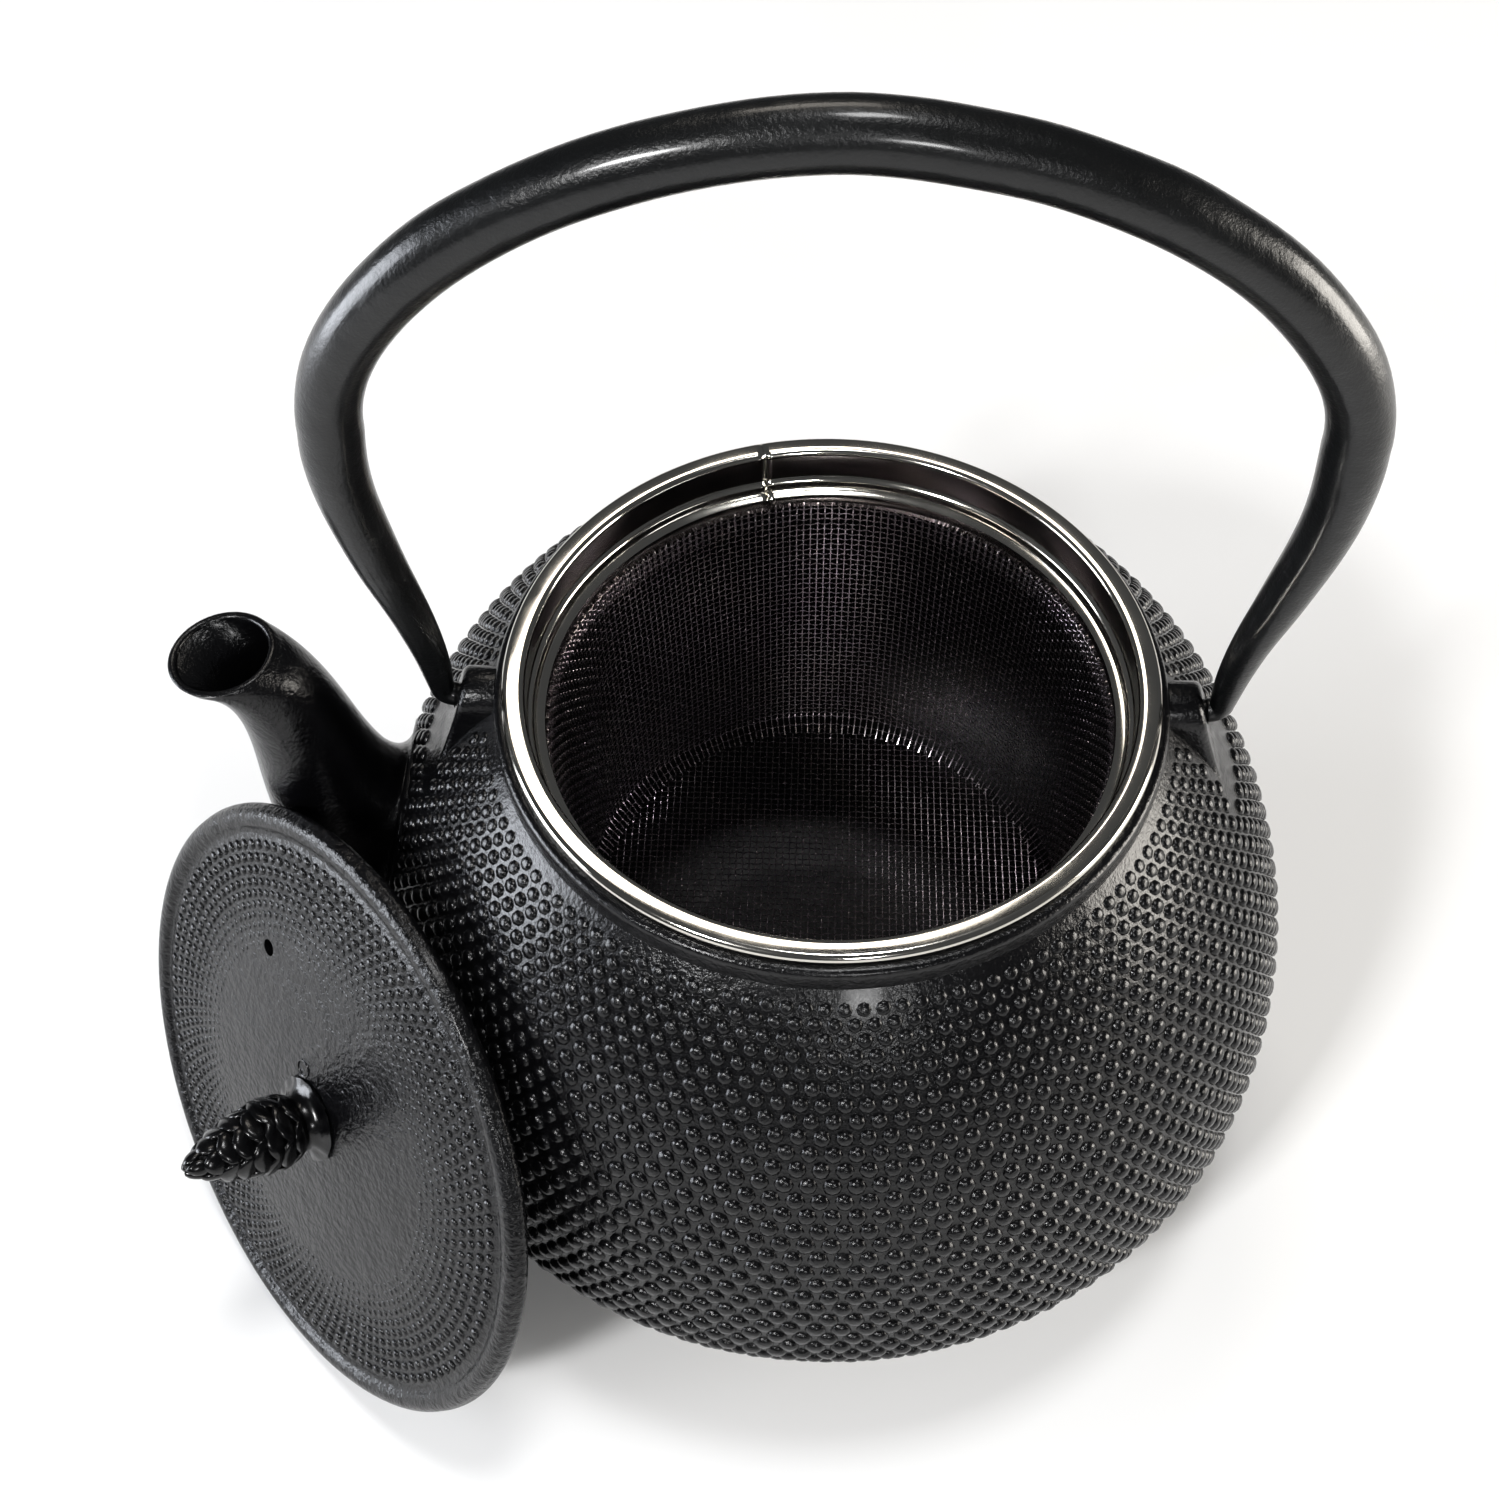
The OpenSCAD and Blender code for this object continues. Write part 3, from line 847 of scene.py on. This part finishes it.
def nail_row(radius, z, normal, width, height, around, turn, keeps):
    """A row of nails round the Z axis; keeps says which stay, by the place of their centre."""
    bm = bmesh.new()
    out = Vector((normal[0], 0, normal[1]))
    side = Vector((0, 1, 0))
    place = Matrix((side.cross(out), side, out)).transposed().to_4x4()
    place.translation = (radius, 0, z)
    nail(bm, width, height, place)
    pitch = math.tau / around
    copied(bm, around - 1, angle=pitch * (around - 1))
    dropped = []
    for vert in bm.verts:
        k = round(math.atan2(vert.co.y, vert.co.x) / pitch)
        a = k * pitch + turn
        if not keeps(Vector((radius * math.cos(a), radius * math.sin(a), z))):
            dropped.append(vert)
    bmesh.ops.delete(bm, geom=dropped, context="VERTS")
    bmesh.ops.rotate(bm, verts=bm.verts, cent=(0, 0, 0), matrix=Matrix.Rotation(turn, 3, "Z"))
    return bm


def uneven(bm, amount, lump):
    """Moves points a little, as a hand-made mould leaves them."""
    for vert in bm.verts:
        vert.co += noise.noise_vector(vert.co / lump) * amount


class TEAPOT_OT_hobnails(bpy.types.Operator):
    """Builds the rows of cast nails on the body"""

    bl_idname = "teapot.hobnails"
    bl_label = "Hobnails"

    def execute(self, context):
        scene = context.scene
        pot, spout, nails = scene.teapot_pot, scene.teapot_spout, scene.teapot_hobnails
        line = SpoutLine(pot, spout)
        border = [points[1] for _, points in flare_lines(pot, spout, line, 72)]

        def keeps(point):
            drop = pot.pivot_z - point.z
            if drop < pot.lug_low + 1 * MM:
                half = pot.lug_r + (pot.lug_spread - pot.lug_r) * (max(0, drop) / pot.lug_low) ** LUG_FLARE
                if abs(point.y) < half + 1.2 * MM:
                    return False
            if point.x > 0:
                return True
            return not inside_border(point, border)

        rows = {"upper": [], "lower": []}
        z = nails.start_z
        row = 0
        while z > nails.end_z:
            radius = body_radius(pot, z)
            pitch = math.tau * radius / nails.around
            normal = body_normal(pot, z)
            # The first row and the lowest rows stand lower than the rest
            strength = min(1, 0.6 + 0.2 * row) * (0.75 + 0.25 * ease((z - nails.end_z) / (30 * MM)))
            turn = (row % 2) * math.pi / nails.around
            height = pitch * nails.rise * strength
            part = "upper" if z > pot.belly_z else "lower"
            rows[part].append(
                nail_row(radius, z, normal, pitch * nails.fill, height, nails.around, turn, keeps)
            )
            # Rows sit closer than the pitch, as in a packed pattern
            z -= pitch * 0.84 * normal[0]
            row += 1
        for part, shapes in rows.items():
            bm = joined(shapes)
            uneven(bm, 0.12 * MM, 2.5 * MM)
            piece("hobnails_" + part, bm, ["lacquer"], "pot", crease=80)
        return {"FINISHED"}


def inside_border(point, border):
    """Whether a point on the body lies inside the flare's border, seen from outside."""
    here = (math.atan2(point.y, -point.x), point.z)
    loop = [(math.atan2(p.y, -p.x), p.z) for p in border]
    inside = False
    for (ax, az), (bx, bz) in zip(loop, loop[1:] + loop[:1]):
        if (az > here[1]) != (bz > here[1]):
            inside ^= here[0] < ax + (bx - ax) * (here[1] - az) / (bz - az)
    return inside


# ---------------------------------------------------------------- handle


def handle_path(pot, handle):
    """Centre line and radius of the handle's +X half, from the top of the arch to the pivot."""
    arch_z = handle.top_z - handle.arch_h
    power = 2 / ARCH_POWER
    bend_r = handle.foot_thick / 2 + 0.1 * MM
    foot_z = pot.pivot_z + bend_r
    points = []
    for i in range(41):
        a = math.pi / 2 * (1 - i / 40)
        out = handle.half_w * max(0, math.cos(a)) ** power
        points.append(Vector((out, 0, arch_z + handle.arch_h * math.sin(a) ** power)))
    top = Vector((handle.half_w, 0, arch_z))
    foot = Vector((handle.foot_x, 0, foot_z))
    leg = [top, top + Vector((2.6, 0, -22)) * MM, foot + Vector((0.6, 0, 22)) * MM, foot]
    points += [bezier(leg, i / 28) for i in range(1, 29)]
    for i in range(1, 9):
        a = -math.pi / 2 * i / 8
        points.append(Vector((foot.x - bend_r + bend_r * math.cos(a), 0, foot.z + bend_r * math.sin(a))))

    def radius(z):
        rise = min(1, max(0, (z - foot_z) / LEG_TAPER))
        return (handle.foot_thick + (handle.thick - handle.foot_thick) * rise**0.75) / 2

    return [(p, radius(p.z)) for p in points]


class TEAPOT_OT_handle(bpy.types.Operator):
    """Builds the bail handle from one bar, with its bent pivot ends"""

    bl_idname = "teapot.handle"
    bl_label = "Handle"

    def execute(self, context):
        pot, handle = context.scene.teapot_pot, context.scene.teapot_handle
        half = handle_path(pot, handle)
        end = half[-1][0]
        half += [
            (Vector((end.x - 0.35 * MM, 0, end.z)), handle.pin_r * 1.12),
            (Vector((end.x - 0.6 * MM, 0, end.z)), handle.pin_r),
            (Vector((pot.lug_x - PIVOT_REACH, 0, end.z)), handle.pin_r),
        ]
        path = [(Vector((-p.x, 0, p.z)), r) for p, r in reversed(half[1:])] + half
        rings = []
        for i, (centre, radius) in enumerate(path):
            ahead = path[min(i + 1, len(path) - 1)][0]
            behind = path[max(i - 1, 0)][0]
            rings.append(tube_ring(centre, radius, (ahead - behind).normalized(), 40))
        bm = lofted(rings)
        # The bar was ground by hand, so its skin wanders a little above the feet
        for vert in bm.verts:
            free = ease((vert.co.z - pot.pivot_z - 6 * MM) / (20 * MM))
            vert.co += noise.noise_vector(vert.co / (14 * MM)) * 0.22 * MM * free
        piece("bail_handle", bm, ["handle"], "handle", ["handle"], crease=50)
        return {"FINISHED"}


# ---------------------------------------------------------------- infuser


def rim_outline(infuser):
    """Middle line of the rim's sheet: rolled lip, band, two small steps and the skirt."""
    roll = 1.05 * MM
    half = infuser.sheet / 2
    lip_z = infuser.rim_top - roll
    inner = infuser.band_r - half
    bend = roll - half
    points = arc(infuser.lip_r - roll, lip_z, bend, range(-120, 91, 15))
    points.append((inner + roll, lip_z + bend))
    points += arc(inner + bend, lip_z, bend, range(105, 181, 15))
    step_z = infuser.ledge_z + 2.3 * MM
    points += [
        (inner, step_z + 0.4 * MM),
        (inner - 0.15 * MM, step_z),
        (inner - 0.75 * MM, step_z - 0.35 * MM),
        (inner - 0.95 * MM, step_z - 0.75 * MM),
        (inner - 1.05 * MM, infuser.ledge_z + 0.9 * MM),
        (inner - 1.35 * MM, infuser.ledge_z + half + 0.1 * MM),
        (infuser.skirt_r + 0.9 * MM, infuser.ledge_z + half - 0.05 * MM),
        (infuser.skirt_r + half + 0.1 * MM, infuser.ledge_z + half - 0.3 * MM),
        (infuser.skirt_r + half, infuser.ledge_z - 0.6 * MM),
        (infuser.skirt_r + half, infuser.ledge_z - 2.4 * MM),
    ]
    return points


class TEAPOT_OT_rim(bpy.types.Operator):
    """Builds the infuser's rim from one strip with a lap seam"""

    bl_idname = "teapot.rim"
    bl_label = "Infuser rim"

    def execute(self, context):
        infuser = context.scene.teapot_infuser
        bm = bmesh.new()
        verts = [bm.verts.new((r, 0, z)) for r, z in rim_outline(infuser)]
        edges = [bm.edges.new(pair) for pair in zip(verts, verts[1:])]
        bmesh.ops.spin(bm, geom=verts + edges, cent=(0, 0, 0), axis=UP, angle=math.tau, steps=240)
        # One end of the strip lies over the other, and its step fades out along the ring;
        # on the rolled lip it is ground away
        lap = 0.16 * MM
        fade = math.radians(14)
        first = set(bm.verts[: len(verts)])
        for vert in bm.verts:
            turn = math.atan2(vert.co.y, vert.co.x) % math.tau
            if turn < fade and (turn > 0.01 or vert in first):
                out = Vector((vert.co.x, vert.co.y, 0)).normalized()
                below = ease((infuser.rim_top - 1.2 * MM - vert.co.z) / (2 * MM))
                vert.co -= out * lap * below * (1 - ease(turn / fade))
        turned(bm, SEAM_TURN)
        bmesh.ops.recalc_face_normals(bm, faces=bm.faces)
        made = piece("infuser_rim_strip", bm, ["steel"], "infuser", ["infuser_rim"])
        thick = made.modifiers.new("Sheet", "SOLIDIFY")
        thick.thickness = infuser.sheet
        thick.offset = 0
        thick.use_even_offset = True
        return {"FINISHED"}


def cloth_point(infuser, turn, down, lift):
    """A point of the woven wall; down runs from 0 at its top to 1 at its bottom, lift is out of the cloth."""
    top = infuser.ledge_z
    z = top + (infuser.floor_z - top) * down
    # The cloth buckles into soft upright folds between the rim and the bottom
    free = math.sin(math.pi * min(1, max(0, down))) ** 0.7
    fold = 0.55 * math.sin(5 * turn + 0.6) + 0.35 * math.sin(9 * turn + 2.1 + 2 * down)
    fold += 0.2 * math.sin(14 * turn + 4.0 - 3 * down)
    corner = 2.2 * MM * ease((down - 0.96) / 0.04)
    radius = infuser.mesh_r - infuser.taper * down - corner + (fold * 0.95 - 0.6) * MM * free
    return Vector(((radius + lift) * math.cos(turn), (radius + lift) * math.sin(turn), z))


def wire_section(bm, centre, across, up, radius):
    """A three-sided outline of one wire; across and up are its two directions."""
    verts = []
    for k in range(3):
        a = math.tau * k / 3
        verts.append(bm.verts.new(centre + radius * (across * math.cos(a) + up * math.sin(a))))
    return verts + [bm.edges.new(pair) for pair in zip(verts, verts[1:] + verts[:1])]


def wall_cloth(infuser, upright, rows, top=0.0, bottom=1.0, inward=0.0):
    """The wires of the woven wall that run one way; they pass over and under each other by turns."""
    bm = bmesh.new()
    pitch = math.tau / infuser.around
    radius = infuser.wire_d / 2
    step = 1.0 / rows
    if upright:
        geom = wire_section(bm, Vector((1, 0, 0)), Vector((1, 0, 0)), Vector((0, 1, 0)), radius)
        bmesh.ops.spin(bm, geom=geom, cent=(0, 0, 0), axis=UP, dvec=(0, 0, step), angle=0, steps=rows)
        copied(bm, infuser.around - 1, angle=pitch * (infuser.around - 1))
    else:
        geom = []
        for i in range(1, rows):
            geom += wire_section(bm, Vector((1, 0, i * step)), Vector((1, 0, 0)), UP, radius)
        bmesh.ops.spin(
            bm, geom=geom, cent=(0, 0, 0), axis=UP, angle=math.tau, steps=infuser.around, use_merge=True
        )
    for vert in bm.verts:
        turn = math.atan2(vert.co.y, vert.co.x)
        out = math.hypot(vert.co.x, vert.co.y) - 1
        k = round(turn / pitch)
        i = round(vert.co.z / step)
        along = vert.co.z if upright else i * step
        high = 0 if upright else vert.co.z - i * step
        side = (turn - k * pitch) if upright else 0
        over = CRIMP * radius * (1 if (k + i) % 2 else -1) * (1 if upright else -1)
        down = top + (bottom - top) * along
        place = cloth_point(infuser, k * pitch, down, out + over - inward)
        place += Vector((-math.sin(turn), math.cos(turn), 0)) * side
        vert.co = place + UP * high
    return sealed(bm, 4)


def floor_cloth(infuser, along_x, pitch):
    """The wires of the flat woven bottom that run one way."""
    bm = bmesh.new()
    radius = infuser.wire_d / 2
    reach = infuser.mesh_r - infuser.taper - 1.2 * MM
    count = int(reach / pitch)
    start = Vector((-count * pitch, -count * pitch, 0))
    geom = wire_section(bm, start, Vector((0, 1, 0)), UP, radius)
    bmesh.ops.spin(bm, geom=geom, cent=(0, 0, 0), axis=UP, dvec=(pitch, 0, 0), angle=0, steps=2 * count)
    copied(bm, 2 * count, step=(0, pitch, 0))
    for vert in bm.verts:
        i = round(vert.co.x / pitch)
        k = round(vert.co.y / pitch)
        over = CRIMP * radius * (1 if (k + i) % 2 else -1) * (1 if along_x else -1)
        # The bottom sags a little and is not quite flat
        sag = 0.5 * MM * math.cos(2.1 * i * pitch / reach + 0.4) * math.cos(1.7 * k * pitch / reach)
        vert.co.z += infuser.floor_z + over + sag
    outside = [v for v in bm.verts if math.hypot(round(v.co.x / pitch) * pitch, v.co.y) > reach]
    bmesh.ops.delete(bm, geom=outside, context="VERTS")
    loose = [v for v in bm.verts if not v.link_faces]
    bmesh.ops.delete(bm, geom=loose, context="VERTS")
    if not along_x:
        turned(bm, 90)
    return sealed(bm, 4)


class TEAPOT_OT_cloth(bpy.types.Operator):
    """Weaves the infuser's wall, hem and bottom from single wires"""

    bl_idname = "teapot.cloth"
    bl_label = "Woven cloth"

    def execute(self, context):
        infuser = context.scene.teapot_infuser
        pitch = math.tau * infuser.mesh_r / infuser.around
        rows = round((infuser.ledge_z - infuser.floor_z) / pitch)
        hem = 5 * MM / (infuser.ledge_z - infuser.floor_z)
        names = ("warp", "weft")
        for upright, name in zip((True, False), names):
            bm = wall_cloth(infuser, upright, rows)
            replaced = ["infuser_mesh_wall"] if upright else []
            piece("cloth_wall_" + name, bm, ["wire"], "infuser", replaced, crease=80)
            bm = wall_cloth(infuser, upright, 4, 0.03, 0.03 + hem, 0.6 * MM)
            piece("cloth_hem_" + name, bm, ["wire"], "infuser", crease=80)
        for along_x, name in zip((True, False), names):
            bm = floor_cloth(infuser, along_x, pitch)
            replaced = ["infuser_mesh_bottom"] if along_x else []
            piece("cloth_floor_" + name, bm, ["wire"], "infuser", replaced, crease=80)
        return {"FINISHED"}


# ---------------------------------------------------------------- lid and knob


def lid_place():
    """Where the lid leans: its centre and the direction of its face come from the knob's joint."""
    joint = JOINTS["knob_turn"]
    face = Vector(joint["axis"]).normalized()
    level = Vector((face.x, face.y, 0))
    turn = Matrix.Rotation(math.atan2(face.y, face.x), 4, "Z")
    tilt = Matrix.Rotation(math.pi / 2 - math.atan2(face.z, level.length), 4, "Y")
    return Matrix.Translation(joint["pos_m"]) @ turn @ tilt


def lid_top(lid, r):
    """Height of the domed face at a radius."""
    return lid.edge / 2 + lid.rise * (1 - (r / (lid.radius - lid.edge)) ** 2)


def lid_profile(lid):
    """Outline of the lid: dome, groove, bead, rounded edge, underside and flange."""
    half = lid.edge / 2
    groove_r = lid.radius - lid.bead_w
    bead_mid = lid.radius - lid.bead_w / 2
    points = []
    steps = 24
    for i in range(steps + 1):
        r = (groove_r - 0.9 * MM) * i / steps
        points.append((r, lid_top(lid, r)))
    points += [
        (groove_r - 0.45 * MM, lid_top(lid, groove_r) - 0.15 * MM),
        (groove_r, lid_top(lid, groove_r) - 0.15 * MM),
    ]
    points += arc(bead_mid, half - 1.4 * MM, 2.4 * MM, range(140, 39, -10))
    points += arc(lid.radius - half, 0, half, range(45, -91, -15))
    low = -half - lid.flange_h
    inner = lid.flange_r - lid.flange_t
    points += [
        (lid.flange_r + 0.6 * MM, -half),
        (lid.flange_r, -half - 0.6 * MM),
        (lid.flange_r, low + 0.4 * MM),
        (lid.flange_r - 0.4 * MM, low),
        (inner + 0.4 * MM, low),
        (inner, low + 0.4 * MM),
        (inner, -half),
    ]
    for i in range(11, -1, -1):
        r = inner * i / 12
        points.append((r, lid_top(lid, r) - lid.edge))
    return points


def vent_spot(lid):
    """Where the steam vent stands on the lid."""
    return Matrix.Rotation(math.radians(VENT_TURN), 3, "Z") @ Vector((lid.vent_at, 0, 0))


def lid_nails(lid):
    """Rows of nails on the lid; they shrink inwards and fade out into the plain middle."""
    rows = []
    radius = lid.radius - lid.bead_w - 2.2 * MM
    around = 120
    vent = vent_spot(lid)

    def keeps(point):
        return (Vector((point.x, point.y, 0)) - vent).length > lid.vent_r + 1 * MM

    row = 0
    while radius > 31 * MM:
        pitch = math.tau * radius / around
        slope = 2 * lid.rise * radius / (lid.radius - lid.edge) ** 2
        normal = Vector((slope, 1)).normalized()
        fade = ease((radius - 30 * MM) / (14 * MM))
        height = 0.19 * pitch * (0.08 + 0.92 * fade)
        turn = (row % 2) * math.pi / around
        rows.append(nail_row(radius, lid_top(lid, radius), normal, pitch * 0.8, height, around, turn, keeps))
        radius -= pitch * 0.9
        row += 1
    # The mould's pin left a low ring beside the knob
    outline = [(1.3, -0.2), (1.4, 0.16), (1.65, 0.2), (1.8, -0.2)]
    mark = spun([(r * MM, z * MM) for r, z in outline], 32)
    spot = Matrix.Rotation(math.radians(MARK_TURN), 3, "Z") @ Vector((MARK_AT, 0, 0))
    bmesh.ops.translate(mark, verts=mark.verts, vec=spot + UP * lid_top(lid, MARK_AT))
    bm = joined(rows + [mark])
    uneven(bm, 0.1 * MM, 1.6 * MM)
    return bm


class TEAPOT_OT_lid(bpy.types.Operator):
    """Builds the lid's casting with its nails, flange and steam vent"""

    bl_idname = "teapot.lid"
    bl_label = "Lid"

    def execute(self, context):
        lid = context.scene.teapot_lid
        place = lid_place()
        through = 15 * MM
        vent = rod(lid.vent_r, -through, through, Matrix.Translation(vent_spot(lid)))
        shank_hole = rod(lid.shank_r + FIT, -through, through)
        bm = combined(
            spun(lid_profile(lid), 192, closed=False), [("DIFFERENCE", vent), ("DIFFERENCE", shank_hole)]
        )
        bmesh.ops.transform(bm, matrix=place, verts=bm.verts)
        piece("lid_casting", bm, ["lid"], "lid", ["lid"], crease=50)
        nails = lid_nails(lid)
        bmesh.ops.transform(nails, matrix=place, verts=nails.verts)
        piece("lid_nails", nails, ["lacquer"], "lid", crease=80)
        return {"FINISHED"}


def cone_radius(lid, t):
    """Radius of the grip from its waist at 0 to its tip at 1."""
    return lid.knob_r * math.sin(math.pi * (0.11 + 0.89 * min(t, 1)) ** 0.6) ** 0.65 if t < 1 else 0


def scale_leaf(bm, place, long, wide, thick):
    """One scale of the cone: a low rounded leaf with a pointed end along Y."""
    made = bmesh.ops.create_uvsphere(bm, u_segments=10, v_segments=6, radius=1)["verts"]
    for vert in made:
        x, y, z = vert.co
        point = 1 - 0.45 * max(0, y) ** 1.5
        vert.co = place @ Vector((x * wide / 2 * point, y * long / 2, z * thick / 2 * (0.75 + 0.25 * y)))


class TEAPOT_OT_knob(bpy.types.Operator):
    """Builds the knob: a flared collar, a shank and a cone of overlapping scales"""

    bl_idname = "teapot.knob"
    bl_label = "Knob"

    def execute(self, context):
        lid = context.scene.teapot_lid
        place = lid_place()
        base = lid_top(lid, 0) + SHANK_PLAY
        cone_z = base + lid.knob_foot_h
        cone_h = lid.knob_h - lid.knob_foot_h
        waist_r = cone_radius(lid, 0) * CORE
        profile = [(0, base), (lid.knob_foot_r, base), (lid.knob_foot_r + 0.1 * MM, base + 0.4 * MM)]
        for i in range(1, 7):
            a = math.pi / 2 * i / 6
            r = waist_r + (lid.knob_foot_r - waist_r) * (1 - math.sin(a))
            profile.append((r, base + 0.5 * MM + (lid.knob_foot_h - 0.5 * MM) * (1 - math.cos(a))))
        for i in range(1, 20):
            t = i / 20
            profile.append((cone_radius(lid, t) * CORE, cone_z + cone_h * t))
        profile.append((0, cone_z + cone_h - 0.4 * MM))
        bm = spun(profile, 64, closed=False)
        for vert in bm.verts:
            # The collar is chased by hand above its flat underside, and evens out towards the grip
            low = (1 - ease((vert.co.z - base) / (3 * MM))) * (vert.co.z > base + 0.1 * MM)
            vert.co += noise.noise_vector(vert.co / (2.2 * MM)) * 0.45 * MM * low
        rows = 8
        for row in range(rows):
            t = 0.06 + 0.86 * row / (rows - 1)
            radius = cone_radius(lid, t)
            ahead = cone_radius(lid, min(0.999, t + 0.03))
            lean = math.atan2(radius - ahead, 0.03 * cone_h)
            count = 6 if row < 5 else 5 if row < 7 else 4
            wide = math.tau * radius / count * 1.12
            for k in range(count):
                a = math.tau * (k + 0.5 * (row % 2) + 0.13 * row) / count
                spot = (
                    Matrix.Rotation(a, 4, "Z")
                    @ Matrix.Translation((radius * 0.86, 0, cone_z + cone_h * t))
                    @ Matrix.Rotation(-lean + math.radians(8), 4, "Y")
                    @ Matrix(((0, 0, 1, 0), (1, 0, 0, 0), (0, 1, 0, 0), (0, 0, 0, 1)))
                )
                scale_leaf(bm, spot, 4.4 * MM, wide, 2.1 * MM)
        tip = Matrix.Translation((0, 0, cone_z + cone_h - 1.5 * MM))
        made = bmesh.ops.create_uvsphere(bm, u_segments=12, v_segments=8, radius=1)["verts"]
        for vert in made:
            vert.co = tip @ Vector([c * 1.5 * MM for c in vert.co])
        under = lid_top(lid, 0) - lid.edge - 0.9 * MM
        shank = rod(lid.shank_r, under - 1 * MM, base + 1 * MM)
        head = bmesh.ops.create_uvsphere(shank, u_segments=24, v_segments=10, radius=1)["verts"]
        for vert in head:
            x, y, z = vert.co
            squash = 0.35 if z > 0 else 1.1
            vert.co = Vector((x * 3.3 * MM, y * 3.3 * MM, under - 0.35 * MM + z * squash * MM))
        whole = joined([bm, shank])
        bmesh.ops.recalc_face_normals(whole, faces=whole.faces)
        bmesh.ops.transform(whole, matrix=place, verts=whole.verts)
        piece("cone_knob", whole, ["knob"], "knob", ["lid_knob"], crease=60)
        return {"FINISHED"}


class TEAPOT_OT_hardware(bpy.types.Operator):
    """Gives the steel pieces kept from the frame their finish"""

    bl_idname = "teapot.hardware"
    bl_label = "Clamp ring and washer"

    def execute(self, context):
        for name in ("infuser_clamp_ring", "knob_washer"):
            mesh = frame["nodes"][name].data
            mesh.materials.clear()
            mesh.materials.append(material("steel"))
        return {"FINISHED"}


# ---------------------------------------------------------------- stage


def area_light(name, place, width, height, power, tint):
    """A soft panel light aimed at the object."""
    data = bpy.data.lights.new(name, "AREA")
    data.shape = "RECTANGLE"
    data.size = width
    data.size_y = height
    data.energy = power
    data.color = linear(tint)[:3]
    panel = bpy.data.objects.new(name, data)
    panel.location = place
    panel.rotation_euler = (Vector(LIT_SPOT) - Vector(place)).to_track_quat("-Z", "Y").to_euler()
    bpy.context.scene.collection.objects.link(panel)


class TEAPOT_OT_stage(bpy.types.Operator):
    """Sets the floor, the lights and the camera"""

    bl_idname = "teapot.stage"
    bl_label = "Stage"

    def execute(self, context):
        scene = context.scene
        bm = bmesh.new()
        bmesh.ops.create_grid(bm, x_segments=1, y_segments=1, size=4)
        mesh = bpy.data.meshes.new("studio_floor")
        bm.to_mesh(mesh)
        bm.free()
        paper, tree = new_material("pale_paper_sweep")
        finish_shader(tree, {"Base Color": list(scene.teapot_finishes.floor), "Roughness": 0.9})
        mesh.materials.append(paper)
        floor = bpy.data.objects.new("studio_floor", mesh)
        floor.location.z = CAD_BOX[0][2]
        scene.collection.objects.link(floor)

        world = bpy.data.worlds.new("soft_room")
        world.use_nodes = True
        sky = world.node_tree.nodes["Background"]
        sky.inputs["Color"].default_value = linear("#eef1f5")
        sky.inputs["Strength"].default_value = 0.1
        scene.world = world
        scene.view_settings.view_transform = "Standard"
        scene.view_settings.look = "Medium High Contrast"

        for lamp in LAMPS:
            area_light(*lamp)

        yaw, pitch, roll = (math.radians(a) for a in CAMERA_TURNS)
        ahead = Vector((math.sin(yaw) * math.cos(pitch), math.cos(yaw) * math.cos(pitch), -math.sin(pitch)))
        right = Vector((math.cos(yaw), -math.sin(yaw), 0))
        down = ahead.cross(right)
        across = right * math.cos(roll) + down * math.sin(roll)
        up = right * math.sin(roll) - down * math.cos(roll)
        data = bpy.data.cameras.new("camera")
        data.sensor_width = SENSOR
        data.lens = LENS
        camera = bpy.data.objects.new("camera", data)
        aim = Matrix((across, up, -ahead)).transposed().to_4x4()
        camera.matrix_world = Matrix.Translation(Vector(CAMERA_AT) * MM) @ aim
        scene.collection.objects.link(camera)
        scene.camera = camera
        return {"FINISHED"}


class TEAPOT_PT_panel(bpy.types.Panel):
    """Lists the teapot's builders in the sidebar"""

    bl_label = "Cast Iron Teapot"
    bl_space_type = "VIEW_3D"
    bl_region_type = "UI"
    bl_category = "Teapot"

    def draw(self, context):
        for name, _ in SETTINGS:
            group = getattr(context.scene, name)
            box = self.layout.box()
            for key in group.__annotations__:
                box.prop(group, key)
        for operator in OPERATORS:
            self.layout.operator(operator.bl_idname)


SETTINGS = (
    ("teapot_pot", PotSizes),
    ("teapot_spout", SpoutSizes),
    ("teapot_hobnails", HobnailSizes),
    ("teapot_handle", HandleSizes),
    ("teapot_infuser", InfuserSizes),
    ("teapot_lid", LidSizes),
    ("teapot_finishes", Finishes),
)
OPERATORS = (
    TEAPOT_OT_stage,
    TEAPOT_OT_pot,
    TEAPOT_OT_hobnails,
    TEAPOT_OT_handle,
    TEAPOT_OT_rim,
    TEAPOT_OT_cloth,
    TEAPOT_OT_lid,
    TEAPOT_OT_knob,
    TEAPOT_OT_hardware,
)


def register():
    noise.seed_set(NOISE_START)
    for name, group in SETTINGS:
        bpy.utils.register_class(group)
        setattr(bpy.types.Scene, name, PointerProperty(type=group))
    for operator in OPERATORS:
        bpy.utils.register_class(operator)
    bpy.utils.register_class(TEAPOT_PT_panel)


def unregister():
    bpy.utils.unregister_class(TEAPOT_PT_panel)
    for operator in reversed(OPERATORS):
        bpy.utils.unregister_class(operator)
    for name, group in reversed(SETTINGS):
        delattr(bpy.types.Scene, name)
        bpy.utils.unregister_class(group)


def main():
    register()
    bpy.ops.teapot.stage()
    bpy.ops.teapot.pot()
    bpy.ops.teapot.hobnails()
    bpy.ops.teapot.handle()
    bpy.ops.teapot.rim()
    bpy.ops.teapot.cloth()
    bpy.ops.teapot.lid()
    bpy.ops.teapot.knob()
    bpy.ops.teapot.hardware()


if __name__ == "__main__":
    main()
